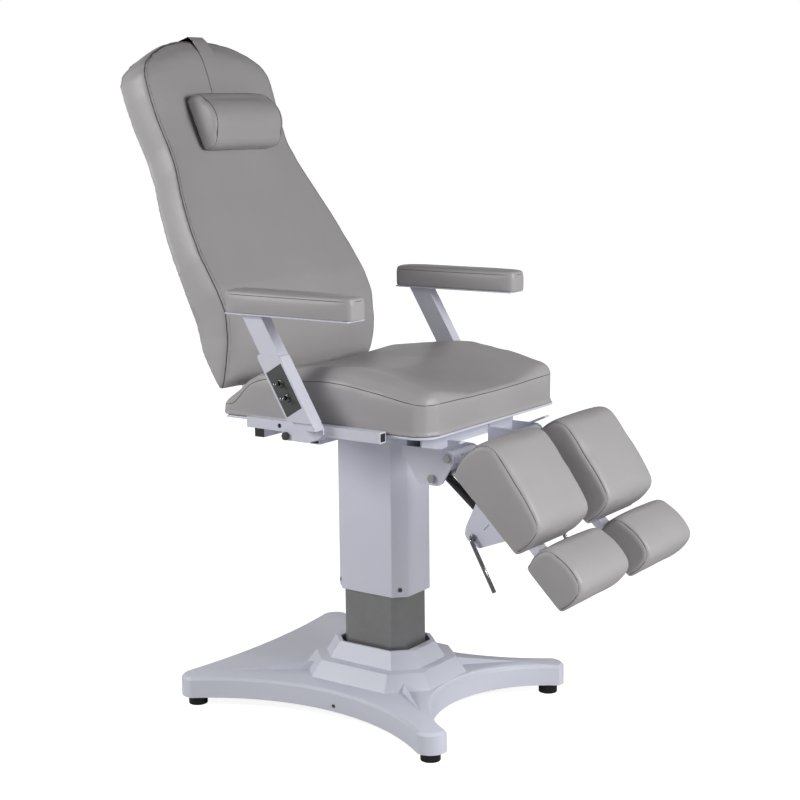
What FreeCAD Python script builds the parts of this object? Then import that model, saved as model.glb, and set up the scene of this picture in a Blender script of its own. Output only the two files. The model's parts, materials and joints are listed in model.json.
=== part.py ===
import FreeCAD, Part
import Sketcher
import math
import os
from FreeCAD import Placement, Rotation, Vector

# Podiatry chair: a star base with a lifting column, a tilting back, two folding arms
# and two separate leg rests with sliding foot rests. Millimetres and degrees.
# Frame: +X towards the foot rests, +Y to the sitter's left, +Z up, origin on the floor
# under the column.

doc = FreeCAD.newDocument("podiatry_chair")
sheet = doc.addObject("Spreadsheet::Sheet", "Sizes")

SIZES = (
    # base cover, frame and feet
    ("foot_rear_x", 351), ("foot_rear_y", 266), ("foot_front_x", 294), ("foot_front_y", 250),
    ("foot_disc_radius", 22), ("foot_disc_height", 21), ("foot_stud_radius", 6), ("foot_stud_top", 60),
    ("cover_tip_radius", 37), ("cover_lower_edge", 23), ("cover_deck_edge", 71), ("cover_wall", 4),
    ("cover_edge_bevel", 6), ("waist_side", 189), ("waist_side_x", 22), ("waist_front", 184),
    ("waist_rear", 365), ("crest_height", 77), ("crest_tip_radius", 5),
    ("rib_top", 96), ("rib_half_width", 15), ("rib_tip", 2),
    ("tier_low_x", 177), ("tier_low_y", 150), ("tier_low_cut", 75), ("tier_low_slope", 25),
    ("tier_high_x", 131), ("tier_high_y", 99), ("tier_high_cut", 45), ("tier_high_slope", 18),
    ("tier_step", 112), ("plinth_top", 149), ("throat_gap", 12),
    ("frame_leg_width", 40), ("frame_leg_bottom", 29), ("frame_leg_height", 31.5), ("frame_wall", 3),
    ("frame_plate_x", 250), ("frame_plate_y", 190), ("frame_plate_thick", 8),
    ("gland_radius", 9), ("gland_length", 22), ("cover_screw_radius", 4),
    ("cover_screw_x", 11), ("cover_screw_z", 37),
    # column
    ("tube_half_x", 85), ("tube_half_y", 63), ("tube_cut", 23), ("column_wall", 4), ("tube_top", 530),
    ("flange_x", 224), ("flange_y", 150), ("flange_thick", 8), ("flange_bolt_radius", 5),
    ("sleeve_half_x", 97), ("sleeve_half_y", 71), ("sleeve_cut", 27), ("sleeve_bottom", 273),
    ("guide_pad_width", 50), ("guide_pad_height", 36), ("guide_gap", 0.3), ("guide_screw_radius", 5),
    ("head_plate_bottom", 642), ("head_plate_thick", 8), ("head_plate_x", 210), ("head_plate_y", 210),
    ("actuator_radius", 25), ("actuator_rod_radius", 13), ("actuator_top", 430), ("motor_radius", 22),
    ("running_gap", 0.05), ("stroke_down", 105),
    # seat frame
    ("seat_plate_bottom", 694), ("seat_plate_thick", 5), ("seat_half_width", 274), ("seat_front", 307),
    ("seat_rear", 241), ("seat_corner_radius", 46), ("rail_y", 75), ("rail_width", 30), ("rail_rear", 227),
    ("rail_front", 66), ("rail_slot", 9), ("beam_rear", 190), ("beam_depth", 40), ("beam_bottom", 646),
    ("side_rail_rear", 150), ("side_rail_front", 207), ("side_rail_bottom", 684), ("side_rail_height", 23),
    ("side_rail_outer", 300), ("side_rail_width", 22), ("cross_tube_height", 20), ("cross_tube_depth", 25),
    ("cross_rear", 132), ("cross_front", 20), ("tube_wall", 2.5), ("plug_thick", 2),
    ("rail_hole_x", 59), ("rail_hole_radius", 5),
    # seat cushion
    ("cushion_rise", 97), ("cushion_bolster", 31), ("cushion_dish", 4), ("cushion_overhang", 4),
    ("cushion_tail", 17),
    # back rest
    ("back_hinge_x", 205), ("back_hinge_z", 676), ("back_hinge_radius", 8), ("back_face_x", 219),
    ("back_face_bottom", 750), ("back_face_height", 791), ("back_setback", 337), ("back_half_width", 283),
    ("back_thick", 88), ("back_crown", 12), ("back_board_thick", 10), ("back_board_inset", 30),
    ("back_arm_inner", 107), ("back_arm_width", 15), ("back_arm_depth", 28), ("back_elbow_x", 300),
    ("strap_width", 48), ("strap_thick", 3), ("strap_front_end", 1310),
    ("pillow_length", 252), ("pillow_height", 132), ("pillow_depth", 64), ("pillow_middle", 1329),
    ("pillow_gap", 0.6),
    # arm rests
    ("arm_pivot_x", 35), ("arm_pivot_z", 677), ("arm_pin_radius", 6), ("arm_plate_thick", 6),
    ("arm_gap", 0.4), ("arm_tube_step", 1.6), ("arm_tube_thick", 30), ("arm_tube_width", 53),
    ("arm_tube_top_x", 105), ("arm_tube_foot_x", 38), ("arm_foot_rise", 23), ("arm_pad_bottom", 940),
    ("arm_pad_thick", 51), ("arm_pad_rear", 167), ("arm_pad_length", 340), ("arm_pad_overhang", 18),
    ("arm_pad_width", 64), ("arm_pad_plate", 3), ("arm_bracket_bottom", 667),
    ("arm_bracket_front", 67), ("arm_bracket_rear", 52),
    # control box on the right arm
    ("box_room", 8), ("box_wall", 2), ("box_width", 56), ("box_length", 161), ("box_middle_z", 785.6), ("box_corner", 12),
    ("panel_width", 46), ("panel_length", 105), ("panel_thick", 1.5), ("panel_drop", 3.5),
    ("toggle_spacing", 34), ("toggle_radius", 3), ("toggle_length", 15), ("bush_radius", 7),
    ("bush_height", 5), ("bush_bore_gap", 3.4),
    # leg rests
    ("leg_pivot_x", 299), ("leg_pivot_z", 643), ("leg_y", 135), ("leg_slope", 44.6),
    ("leg_pin_radius", 6), ("leg_sleeve_radius", 14), ("bracket_outer", 186), ("bracket_inner", 84),
    ("bracket_thick", 5), ("bracket_clearance", 0.5), ("bolt_head_radius", 9.5), ("bolt_head_height", 7),
    ("leg_tube_width", 40), ("leg_tube_bottom", 6), ("leg_tube_height", 26), ("leg_tube_length", 222),
    ("leg_tube_wall", 3), ("slide_gap", 0.2), ("slide_inner_end", 60), ("foot_tube_reach", 385),
    ("leg_plate_thick", 3), ("leg_pad_half_width", 110), ("leg_pad_offset", 13),
    ("leg_pad_lift", 28), ("calf_start", 36), ("calf_length", 233), ("calf_thick_top", 118),
    ("calf_thick_end", 90), ("foot_pad_lift", 27), ("foot_start", 284), ("foot_length", 128),
    ("foot_thick", 80), ("pad_crown", 7), ("pad_round", 20),
    ("pad_side_draw", 5),
    ("gusset_offset", 20), ("gusset_thick", 4), ("gusset_depth", 98), ("gusset_top_start", 92),
    ("gusset_lever_start", 123), ("gusset_end", 221),
    # leg struts and release levers
    ("strut_pivot_x", 260), ("strut_pivot_z", 596), ("strut_pin_radius", 5), ("strut_radius", 9),
    ("strut_eye_radius", 11), ("strut_eye_width", 16), ("strut_body_length", 108), ("strut_rod_radius", 4),
    ("strut_end_u", 155), ("strut_end_n", 46), ("release_plate_thick", 3), ("release_plate_height", 34),
    ("release_notch", 12), ("nut_radius", 7), ("nut_height", 8), ("nut_stand_off", 5),
    ("lever_pivot_u", 152), ("lever_pivot_n", 96), ("lever_radius", 4.5), ("lever_outer", 36),
    ("lever_reach", 118), ("lever_drop", 35), ("lever_collar_radius", 8),
    # back actuator
    ("back_drive_y", 132), ("back_drive_x", 90), ("back_drive_z", 640), ("back_lever_x", 247),
    ("back_lever_z", 618), ("drive_radius", 17), ("drive_body_length", 190), ("drive_rod_radius", 8),
    ("drive_eye_radius", 13), ("drive_eye_width", 18), ("drive_slot", 12), ("drive_pin_radius", 5),
)


class Size:
    """A length, angle or ratio that keeps the sheet formula it comes from."""

    def __init__(self, number, text):
        self.number = float(number)
        self.text = text

    def __float__(self):
        return self.number

    def __add__(self, other):
        return Size(self.number + float(other), "(%s + %s)" % (self.text, formula(other)))

    def __radd__(self, other):
        return Size(float(other) + self.number, "(%s + %s)" % (formula(other), self.text))

    def __sub__(self, other):
        return Size(self.number - float(other), "(%s - %s)" % (self.text, formula(other)))

    def __rsub__(self, other):
        return Size(float(other) - self.number, "(%s - %s)" % (formula(other), self.text))

    def __mul__(self, other):
        return Size(self.number * float(other), "(%s * %s)" % (self.text, formula(other)))

    __rmul__ = __mul__

    def __truediv__(self, other):
        return Size(self.number / float(other), "(%s / %s)" % (self.text, formula(other)))

    def __neg__(self):
        return Size(-self.number, "(0 - %s)" % self.text)


def formula(value):
    return value.text if isinstance(value, Size) else repr(float(value))


class Sizes:
    """Every alias of the sheet, by name."""


d = Sizes()
for row, (alias, value) in enumerate(SIZES, 1):
    sheet.set("A%d" % row, alias)
    sheet.set("B%d" % row, str(value))
    sheet.setAlias("B%d" % row, alias)
doc.recompute()
for alias, value in SIZES:
    setattr(d, alias, Size(sheet.get(alias), "Sizes." + alias))

SIDES = (("right", -1), ("left", 1))
NODES = []


# Small tools for bound features

def bind(thing, name, value):
    """Set a property from a size, so that it follows the sheet."""
    if isinstance(value, Size):
        thing.setExpression(name, value.text)


def node(thing, label):
    """Name a finished sub-part."""
    thing.Label = label
    NODES.append(thing)
    return thing


def block(low, high):
    """A box between two corners."""
    thing = doc.addObject("Part::Box", "block")
    for name, start, end in zip(("Length", "Width", "Height"), low, high):
        bind(thing, name, end - start)
    for axis, start in zip("xyz", low):
        bind(thing, "Placement.Base." + axis, start)
    return thing


TURNS = {"x": Rotation(Vector(0, 1, 0), 90), "y": Rotation(Vector(1, 0, 0), -90), "z": Rotation()}


def rod(axis, centre, start, end, radius):
    """A cylinder along an axis. centre gives the other two coordinates in X, Y, Z order."""
    thing = doc.addObject("Part::Cylinder", "rod")
    thing.Placement = Placement(Vector(), TURNS[axis])
    bind(thing, "Radius", radius)
    bind(thing, "Height", end - start)
    places = list(centre)
    places.insert("xyz".index(axis), start)
    for name, place in zip("xyz", places):
        bind(thing, "Placement.Base." + name, place)
    return thing


def prism(axis, centre, start, end, radius):
    """A hexagonal nut or bolt head along an axis."""
    thing = doc.addObject("Part::Prism", "prism")
    thing.Polygon = 6
    thing.Placement = Placement(Vector(), TURNS[axis])
    bind(thing, "Circumradius", radius)
    bind(thing, "Height", end - start)
    places = list(centre)
    places.insert("xyz".index(axis), start)
    for name, place in zip("xyz", places):
        bind(thing, "Placement.Base." + name, place)
    return thing


def join(*things):
    fused = doc.addObject("Part::MultiFuse", "joined")
    fused.Shapes = list(things)
    return fused


def group(*things):
    """Like pieces that share one node and stay separate solids."""
    kept = doc.addObject("Part::Compound", "group")
    kept.Links = list(things)
    return kept


def cut(base, *tools):
    for tool in tools:
        result = doc.addObject("Part::Cut", "cut")
        result.Base = base
        result.Tool = tool
        base = result
    return base


def plane_sketch(body, role, name, start):
    plane = next(f for f in body.Origin.OriginFeatures if f.Role == role)
    sketch = body.newObject("Sketcher::SketchObject", name)
    sketch.AttachmentSupport = [(plane, "")]
    sketch.MapMode = "FlatFace"
    bind(sketch, "AttachmentOffset.Base.z", start)
    return sketch


def fix_point(sketch, index, point, place):
    """Hold one point of a sketch at its named coordinates."""
    for kind, value in zip(("DistanceX", "DistanceY"), place):
        number = sketch.addConstraint(Sketcher.Constraint(kind, -1, 1, index, point, float(value)))
        if isinstance(value, Size):
            sketch.setExpression("Constraints[%d]" % number, value.text)


def draw_outline(sketch, corners):
    """A closed outline of straight lines through named corners."""
    first = sketch.GeometryCount
    count = len(corners)
    for i, corner in enumerate(corners):
        after = corners[(i + 1) % count]
        ends = [Vector(float(c[0]), float(c[1]), 0) for c in (corner, after)]
        sketch.addGeometry(Part.LineSegment(*ends), False)
    for i in range(count):
        after = first + (i + 1) % count
        sketch.addConstraint(Sketcher.Constraint("Coincident", first + i, 2, after, 1))
    for i, corner in enumerate(corners):
        fix_point(sketch, first + i, 1, corner)


def draw_circle(sketch, centre, radius):
    middle = Vector(float(centre[0]), float(centre[1]), 0)
    index = sketch.addGeometry(Part.Circle(middle, Vector(0, 0, 1), float(radius)), False)
    fix_point(sketch, index, 3, centre)
    number = sketch.addConstraint(Sketcher.Constraint("Radius", index, float(radius)))
    sketch.setExpression("Constraints[%d]" % number, radius.text)


def plate(role, corners, start, thick, holes=(), windows=()):
    """A padded plate. start is its low face along the plane's row axis."""
    body = doc.addObject("PartDesign::Body", "body")
    low = -start - thick if role == "XZ_Plane" else start
    sketch = plane_sketch(body, role, "outline", low)
    draw_outline(sketch, corners)
    for window in windows:
        draw_outline(sketch, window)
    for x, y, radius in holes:
        draw_circle(sketch, (x, y), radius)
    pad = body.newObject("PartDesign::Pad", "pad")
    pad.Profile = sketch
    bind(pad, "Length", thick)
    doc.recompute()
    return body


def soften(body, corners, radius, axis):
    """Fillet the edges that run along an axis through the given corners of an outline."""
    pad = body.Tip
    others = [i for i in range(3) if i != axis]
    names = []
    for index, edge in enumerate(pad.Shape.Edges, 1):
        ends = [v.Point for v in edge.Vertexes]
        if len(ends) != 2:
            continue
        for x, y in corners:
            near = [abs(p[others[0]] - float(x)) + abs(p[others[1]] - float(y)) for p in ends]
            if max(near) < float(d.running_gap):
                names.append("Edge%d" % index)
    fillet = body.newObject("PartDesign::Fillet", "fillet")
    fillet.Base = (pad, names)
    bind(fillet, "Radius", radius)
    doc.recompute()
    return body


def span(side, near, far):
    """Low face and thickness along Y of a piece between two distances from the middle."""
    return (near if side > 0 else -far), far - near


def shaped(label, shape, place=None):
    """A sub-part whose form comes from lofts."""
    thing = doc.addObject("Part::Feature", label)
    thing.Shape = shape
    if place is not None:
        thing.Placement = place
    return node(thing, label)


def carried(thing, x, y, z, angle=None):
    """Place a piece that is drawn about its own pivot, turned about Y."""
    thing.Placement = Placement(Vector(), Rotation(Vector(0, 1, 0), float(angle) if angle else 0))
    for name, value in zip("xyz", (x, y, z)):
        bind(thing, "Placement.Base." + name, value)
    if angle:
        bind(thing, "Placement.Rotation.Angle", angle)
    return thing


# Base cover: a moulded star shell with a two-step plinth round the column

# each leg's end and side, and the first and last angle of its round tip
LEG_TIPS = (("rear", -1, -1, 172, 285), ("front", 1, -1, 255, 375),
            ("front", 1, 1, -15, 105), ("rear", -1, 1, 75, 188))


def star(height, inset, tip, reach_share, waists):
    """The star outline: a round tip over each foot and a hollow arc between the tips."""
    arcs = []
    ends = []
    for name, along, across, first, last in LEG_TIPS:
        x = along * float(getattr(d, "foot_%s_x" % name)) * reach_share
        y = across * float(getattr(d, "foot_%s_y" % name)) * reach_share
        radius = tip - inset
        angles = [math.radians(a) for a in (first, (first + last) / 2, last)]
        points = [Vector(x + radius * math.cos(a), y + radius * math.sin(a), height) for a in angles]
        arcs.append(points)
        ends.append((points[0], points[2]))
    side_x, side, front, rear = waists
    middles = (Vector(-side_x, -side + inset, height), Vector(front - inset, 0, height),
               Vector(-side_x, side - inset, height), Vector(-rear + inset, 0, height))
    edges = []
    for i in range(4):
        edges.append(Part.Arc(*arcs[i]).toShape())
        edges.append(Part.Arc(ends[i][1], middles[i], ends[(i + 1) % 4][0]).toShape())
    return Part.Wire(edges)


def octagon(height, half_x, half_y, corner):
    """A rectangle with cut corners."""
    x, y, c = float(half_x), float(half_y), float(corner)
    points = [(x, -y + c), (x, y - c), (x - c, y), (c - x, y), (-x, y - c), (-x, c - y), (c - x, -y),
              (x - c, -y)]
    points.append(points[0])
    return Part.makePolygon([Vector(px, py, height) for px, py in points])


def rib_section(along, side, share, half, low, high):
    """An upright triangle across a leg, at a share of the way from the middle to its foot."""
    spot = along * share
    across = side * half
    corners = [spot - across + Vector(0, 0, low), spot + across + Vector(0, 0, low),
               spot + Vector(0, 0, high)]
    return Part.makePolygon(corners + corners[:1])


def cover_ribs(inset):
    """The four narrow ribs that run down from the plinth towards the tips."""
    root, top = float(d.cover_deck_edge) - inset, float(d.rib_top) - inset
    width, tip = float(d.rib_half_width) - inset, float(d.rib_tip)
    foot = float(d.cover_deck_edge) - float(d.cover_edge_bevel) - inset
    ribs = []
    for name, way, turn, first, last in LEG_TIPS:
        along = Vector(way * float(getattr(d, "foot_%s_x" % name)),
                       turn * float(getattr(d, "foot_%s_y" % name)), 0)
        side = Vector(-along.y, along.x, 0)
        side.normalize()
        ribs.append(Part.makeLoft([rib_section(along, side, rib_start_share, width, foot, top),
                                   rib_section(along, side, rib_end_share, tip, foot, root + tip)],
                                  True, True))
    return ribs


rib_start_share = 0.36
rib_end_share = 0.9


def cover_form(inset):
    """The outside of the cover, or its inside when drawn in by the wall."""
    edge, bevel = float(d.cover_deck_edge), float(d.cover_edge_bevel)
    tip, crest = float(d.cover_tip_radius), float(d.crest_tip_radius)
    waists = [float(s) for s in (d.waist_side_x, d.waist_side, d.waist_front, d.waist_rear)]
    inner = [float(s) for s in (d.waist_side_x, d.tier_low_y, d.tier_low_x, d.tier_low_x)]
    bottom = float(d.cover_lower_edge) - (inset if inset else 0)
    wires = [star(bottom, inset, tip, 1, waists), star(edge - bevel - inset, inset, tip, 1, waists),
             star(edge - inset, inset + bevel, tip, 1, waists),
             star(float(d.crest_height) - inset, 0, crest, crest_reach_share, inner)]
    star_body = Part.makeLoft(wires, True, True)
    step, top = float(d.tier_step), float(d.plinth_top)
    under = edge - bevel - inset
    low_slope, high_slope = float(d.tier_low_slope), float(d.tier_high_slope)
    lx, ly, lc = (float(s) - inset for s in (d.tier_low_x, d.tier_low_y, d.tier_low_cut))
    hx, hy, hc = (float(s) - inset for s in (d.tier_high_x, d.tier_high_y, d.tier_high_cut))
    root = float(d.crest_height) - inset
    cut_share = tier_corner_share
    lower = Part.makeLoft([octagon(under, lx, ly, lc), octagon(root, lx, ly, lc),
                           octagon(step - inset, lx - low_slope, ly - low_slope,
                                   lc - low_slope * cut_share)], True, True)
    upper = Part.makeLoft([octagon(root, hx, hy, hc), octagon(step - inset, hx, hy, hc),
                           octagon(top - inset, hx - high_slope, hy - high_slope,
                                   hc - high_slope * upper_corner_share)], True, True)
    return star_body.fuse([lower, upper] + cover_ribs(inset))


crest_reach_share = 0.82
tier_corner_share = 0.64
upper_corner_share = 0.22


def build_base_cover():
    wall = float(d.cover_wall)
    outside = cover_form(0)
    inside = cover_form(wall)
    gap = float(d.throat_gap)
    throat = Part.makeLoft([octagon(h, float(d.tube_half_x) + gap, float(d.tube_half_y) + gap,
                                    float(d.tube_cut) + gap * tier_corner_share)
                            for h in (float(d.tier_step), float(d.plinth_top) + wall)], True, True)
    hole = Part.makeCylinder(float(d.gland_radius), wall * 4,
                             Vector(-float(d.waist_rear) - wall, 0, gland_height()), Vector(1, 0, 0))
    shape = outside.cut([inside, throat, hole]).removeSplitter()
    shaped("base_cover", shape)


def gland_height():
    return (float(d.cover_lower_edge) + float(d.cover_deck_edge)) / 2


build_base_cover()


# Mains gland in the rear wall of the cover

def build_gland():
    rear = -d.waist_rear
    z = (d.cover_lower_edge + d.cover_deck_edge) / 2
    stem = rod("x", (0, z), rear - d.cover_wall, rear + d.gland_length, d.gland_radius)
    collar = rod("x", (0, z), rear - d.cover_wall - d.cover_wall, rear, d.gland_radius * 1.4)
    bore = rod("x", (0, z), rear - d.gland_length, rear + d.gland_length + d.cover_wall,
               d.gland_radius * 0.45)
    node(cut(join(stem, collar), bore), "mains_gland")


build_gland()


# Small screws that hold the cover to its frame, one on each side wall

def build_cover_screws():
    screws = []
    for name, side in SIDES:
        near = d.waist_side + d.running_gap * 3
        low, wide = span(side, near, near + d.cover_wall / 2)
        screws.append(rod("y", (-d.cover_screw_x, d.cover_screw_z), low, low + wide,
                          d.cover_screw_radius))
    node(group(*screws), "base_cover_screws")


build_cover_screws()


# Steel frame inside the cover: four box legs under a centre plate, with a nut over each foot

def foot_places():
    for end, along in (("rear", -1), ("front", 1)):
        for name, side in SIDES:
            x, y = getattr(d, "foot_%s_x" % end), getattr(d, "foot_%s_y" % end)
            yield end, name, x * along, y * side


def build_base_frame():
    width, height, wall = float(d.frame_leg_width), float(d.frame_leg_height), float(d.frame_wall)
    bottom = float(d.frame_leg_bottom)
    gap = float(d.running_gap)
    pieces = []
    holes = []
    for end, name, x, y in foot_places():
        x, y = float(x), float(y)
        length = math.hypot(x, y) + width / 2
        turn = Placement(Vector(), Rotation(Vector(0, 0, 1), math.degrees(math.atan2(y, x))))
        outer = Part.makeBox(length, width, height, Vector(0, -width / 2, bottom))
        inner = Part.makeBox(length - wall * 4, width - wall * 2, height - wall * 2,
                             Vector(wall * 3, wall - width / 2, bottom + wall))
        for shape in (outer, inner):
            shape.Placement = turn
        pieces.append((outer, inner))
        holes.append(Part.makeCylinder(float(d.foot_stud_radius) + gap, height + wall,
                                       Vector(x, y, bottom - gap)))
    plate_low = bottom + height
    top = Part.makeBox(float(d.frame_plate_x), float(d.frame_plate_y), float(d.frame_plate_thick),
                       Vector(-float(d.frame_plate_x) / 2, -float(d.frame_plate_y) / 2, plate_low))
    frame = top.fuse([outer for outer, inner in pieces])
    hub = Part.makeBox(width, width, height, Vector(-width / 2, -width / 2, bottom))
    frame = frame.cut([inner for outer, inner in pieces]).fuse(hub)
    nuts = []
    for end, name, x, y in foot_places():
        flat = Part.makePolygon([Vector(float(x) + float(d.foot_stud_radius) * 1.7 * math.cos(a),
                                        float(y) + float(d.foot_stud_radius) * 1.7 * math.sin(a),
                                        bottom + wall) for a in
                                 [math.radians(60 * i) for i in range(7)]])
        nuts.append(Part.Face(flat).extrude(Vector(0, 0, float(d.foot_stud_radius))))
    frame = frame.fuse(nuts).cut(holes).removeSplitter()
    shaped("base_frame", frame)


build_base_frame()


# Levelling feet: a black disc on a threaded stud, one under each leg

def build_feet():
    for end, name, x, y in foot_places():
        disc = rod("z", (x, y), 0, d.foot_disc_height, d.foot_disc_radius)
        stud = rod("z", (x, y), d.foot_disc_height / 2, d.foot_stud_top, d.foot_stud_radius)
        node(join(disc, stud), "levelling_foot_%s_%s" % (end, name))


build_feet()


# Lower column tube with its bolted flange

def eight(half_x, half_y, corner):
    x, y, c = half_x, half_y, corner
    return [(x, c - y), (x, y - c), (x - c, y), (c - x, y), (-x, y - c), (-x, c - y), (c - x, -y),
            (x - c, -y)]


def flange_bottom():
    return d.frame_leg_bottom + d.frame_leg_height + d.frame_plate_thick


def flange_bolts():
    for along in (-1, 1):
        for across in (-1, 1):
            yield (d.flange_x / 2 * along * flange_bolt_shares[0],
                   d.flange_y / 2 * across * flange_bolt_shares[1])


flange_bolt_shares = (0.885, 0.6)
wall_corner_share = 0.42


def inner_eight(half_x, half_y, corner, wall):
    return eight(half_x - wall, half_y - wall, corner - wall * wall_corner_share)


def build_lower_tube():
    body = plate("XY_Plane", [(d.flange_x / 2, -d.flange_y / 2), (d.flange_x / 2, d.flange_y / 2),
                              (-d.flange_x / 2, d.flange_y / 2), (-d.flange_x / 2, -d.flange_y / 2)],
                 flange_bottom(), d.flange_thick,
                 holes=[(x, y, d.flange_bolt_radius + d.guide_gap) for x, y in flange_bolts()])
    tube = plane_sketch(body, "XY_Plane", "tube", flange_bottom() + d.flange_thick)
    draw_outline(tube, eight(d.tube_half_x, d.tube_half_y, d.tube_cut))
    draw_outline(tube, inner_eight(d.tube_half_x, d.tube_half_y, d.tube_cut, d.column_wall))
    pad = body.newObject("PartDesign::Pad", "tube_pad")
    pad.Profile = tube
    bind(pad, "Length", d.tube_top - flange_bottom() - d.flange_thick)
    doc.recompute()
    node(body, "column_lower_tube")
    heads = []
    for x, y in flange_bolts():
        top = flange_bottom() + d.flange_thick
        shank = rod("z", (x, y), flange_bottom(), top, d.flange_bolt_radius)
        head = prism("z", (x, y), top, top + d.flange_bolt_radius, d.flange_bolt_radius * 1.8)
        heads.append(join(shank, head))
    node(group(*heads), "column_flange_bolts")


build_lower_tube()


# Upper column sleeve, which rides on the lower tube, with its guide pads and screws

def build_sleeve():
    body = plate("XY_Plane", eight(d.sleeve_half_x, d.sleeve_half_y, d.sleeve_cut), d.sleeve_bottom,
                 d.head_plate_bottom - d.sleeve_bottom,
                 windows=[inner_eight(d.sleeve_half_x, d.sleeve_half_y, d.sleeve_cut, d.column_wall)])
    node(body, "column_sleeve")


def guide_set(bottom, on_sleeve):
    """Four plastic pads in the space between sleeve and tube."""
    pads = []
    gap = d.guide_gap
    for half, inner, axis in ((d.sleeve_half_x, d.tube_half_x, 0), (d.sleeve_half_y, d.tube_half_y, 1)):
        near = inner + gap if on_sleeve else inner
        far = half - d.column_wall if on_sleeve else half - d.column_wall - gap
        width = d.guide_pad_width / 2
        for side in (-1, 1):
            low, thick = span(side, near, far)
            first = [low, -width, bottom] if axis == 0 else [-width, low, bottom]
            last = [low + thick, width, bottom] if axis == 0 else [width, low + thick, bottom]
            last[2] = bottom + d.guide_pad_height
            pads.append(block(first, last))
    return group(*pads)


def build_guides():
    node(guide_set(d.sleeve_bottom + d.column_wall, True), "sleeve_guide_pads")
    node(guide_set(d.tube_top - d.guide_pad_height, False), "tube_guide_pads")
    screws = []
    x = float(d.sleeve_half_x - d.sleeve_cut / 2)
    y = float(d.sleeve_half_y - d.sleeve_cut / 2)
    height = float(d.sleeve_bottom + d.guide_pad_height / 2)
    reach = float(d.column_wall)
    for along in (-1, 1):
        for across in (-1, 1):
            way = Vector(along, across, 0)
            way.normalize()
            foot = Vector(x * along, y * across, height)
            screws.append(Part.makeCylinder(float(d.guide_screw_radius), reach / 2, foot, way))
    shaped("guide_screws", Part.Compound(screws))


build_sleeve()
build_guides()


# Lift drive inside the column: a tube with its motor, and the rod that lifts the seat

def build_lift_drive():
    inside = flange_bottom() + d.flange_thick
    body = rod("z", (0, 0), inside, d.actuator_top, d.actuator_radius)
    motor_x = d.actuator_radius + d.motor_radius + d.tube_wall
    motor = rod("z", (motor_x, 0), inside, inside + d.motor_radius * 6, d.motor_radius)
    link = block((0, -d.motor_radius / 2, inside),
                 (motor_x, d.motor_radius / 2, inside + d.motor_radius * 2))
    bore = rod("z", (0, 0), inside + d.flange_thick, d.actuator_top + d.flange_thick,
               d.actuator_rod_radius + d.running_gap)
    node(cut(join(body, motor, link), bore), "lift_drive_body")
    low = inside + d.stroke_down + d.flange_thick * 2
    node(rod("z", (0, 0), low, d.head_plate_bottom, d.actuator_rod_radius), "lift_drive_rod")


build_lift_drive()


# Head plate on the sleeve and the welded seat frame on it

def build_head_plate():
    top = d.head_plate_bottom + d.head_plate_thick
    node(block((-d.head_plate_x / 2, -d.head_plate_y / 2, d.head_plate_bottom),
               (d.head_plate_x / 2, d.head_plate_y / 2, top)), "column_head_plate")


def hollow(low, high, axis):
    """A square tube between two corners, open along one axis."""
    wall = d.tube_wall
    inner_low = [low[i] if i == axis else low[i] + wall for i in range(3)]
    inner_high = [high[i] if i == axis else high[i] - wall for i in range(3)]
    return cut(block(low, high), block(inner_low, inner_high))


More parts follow.
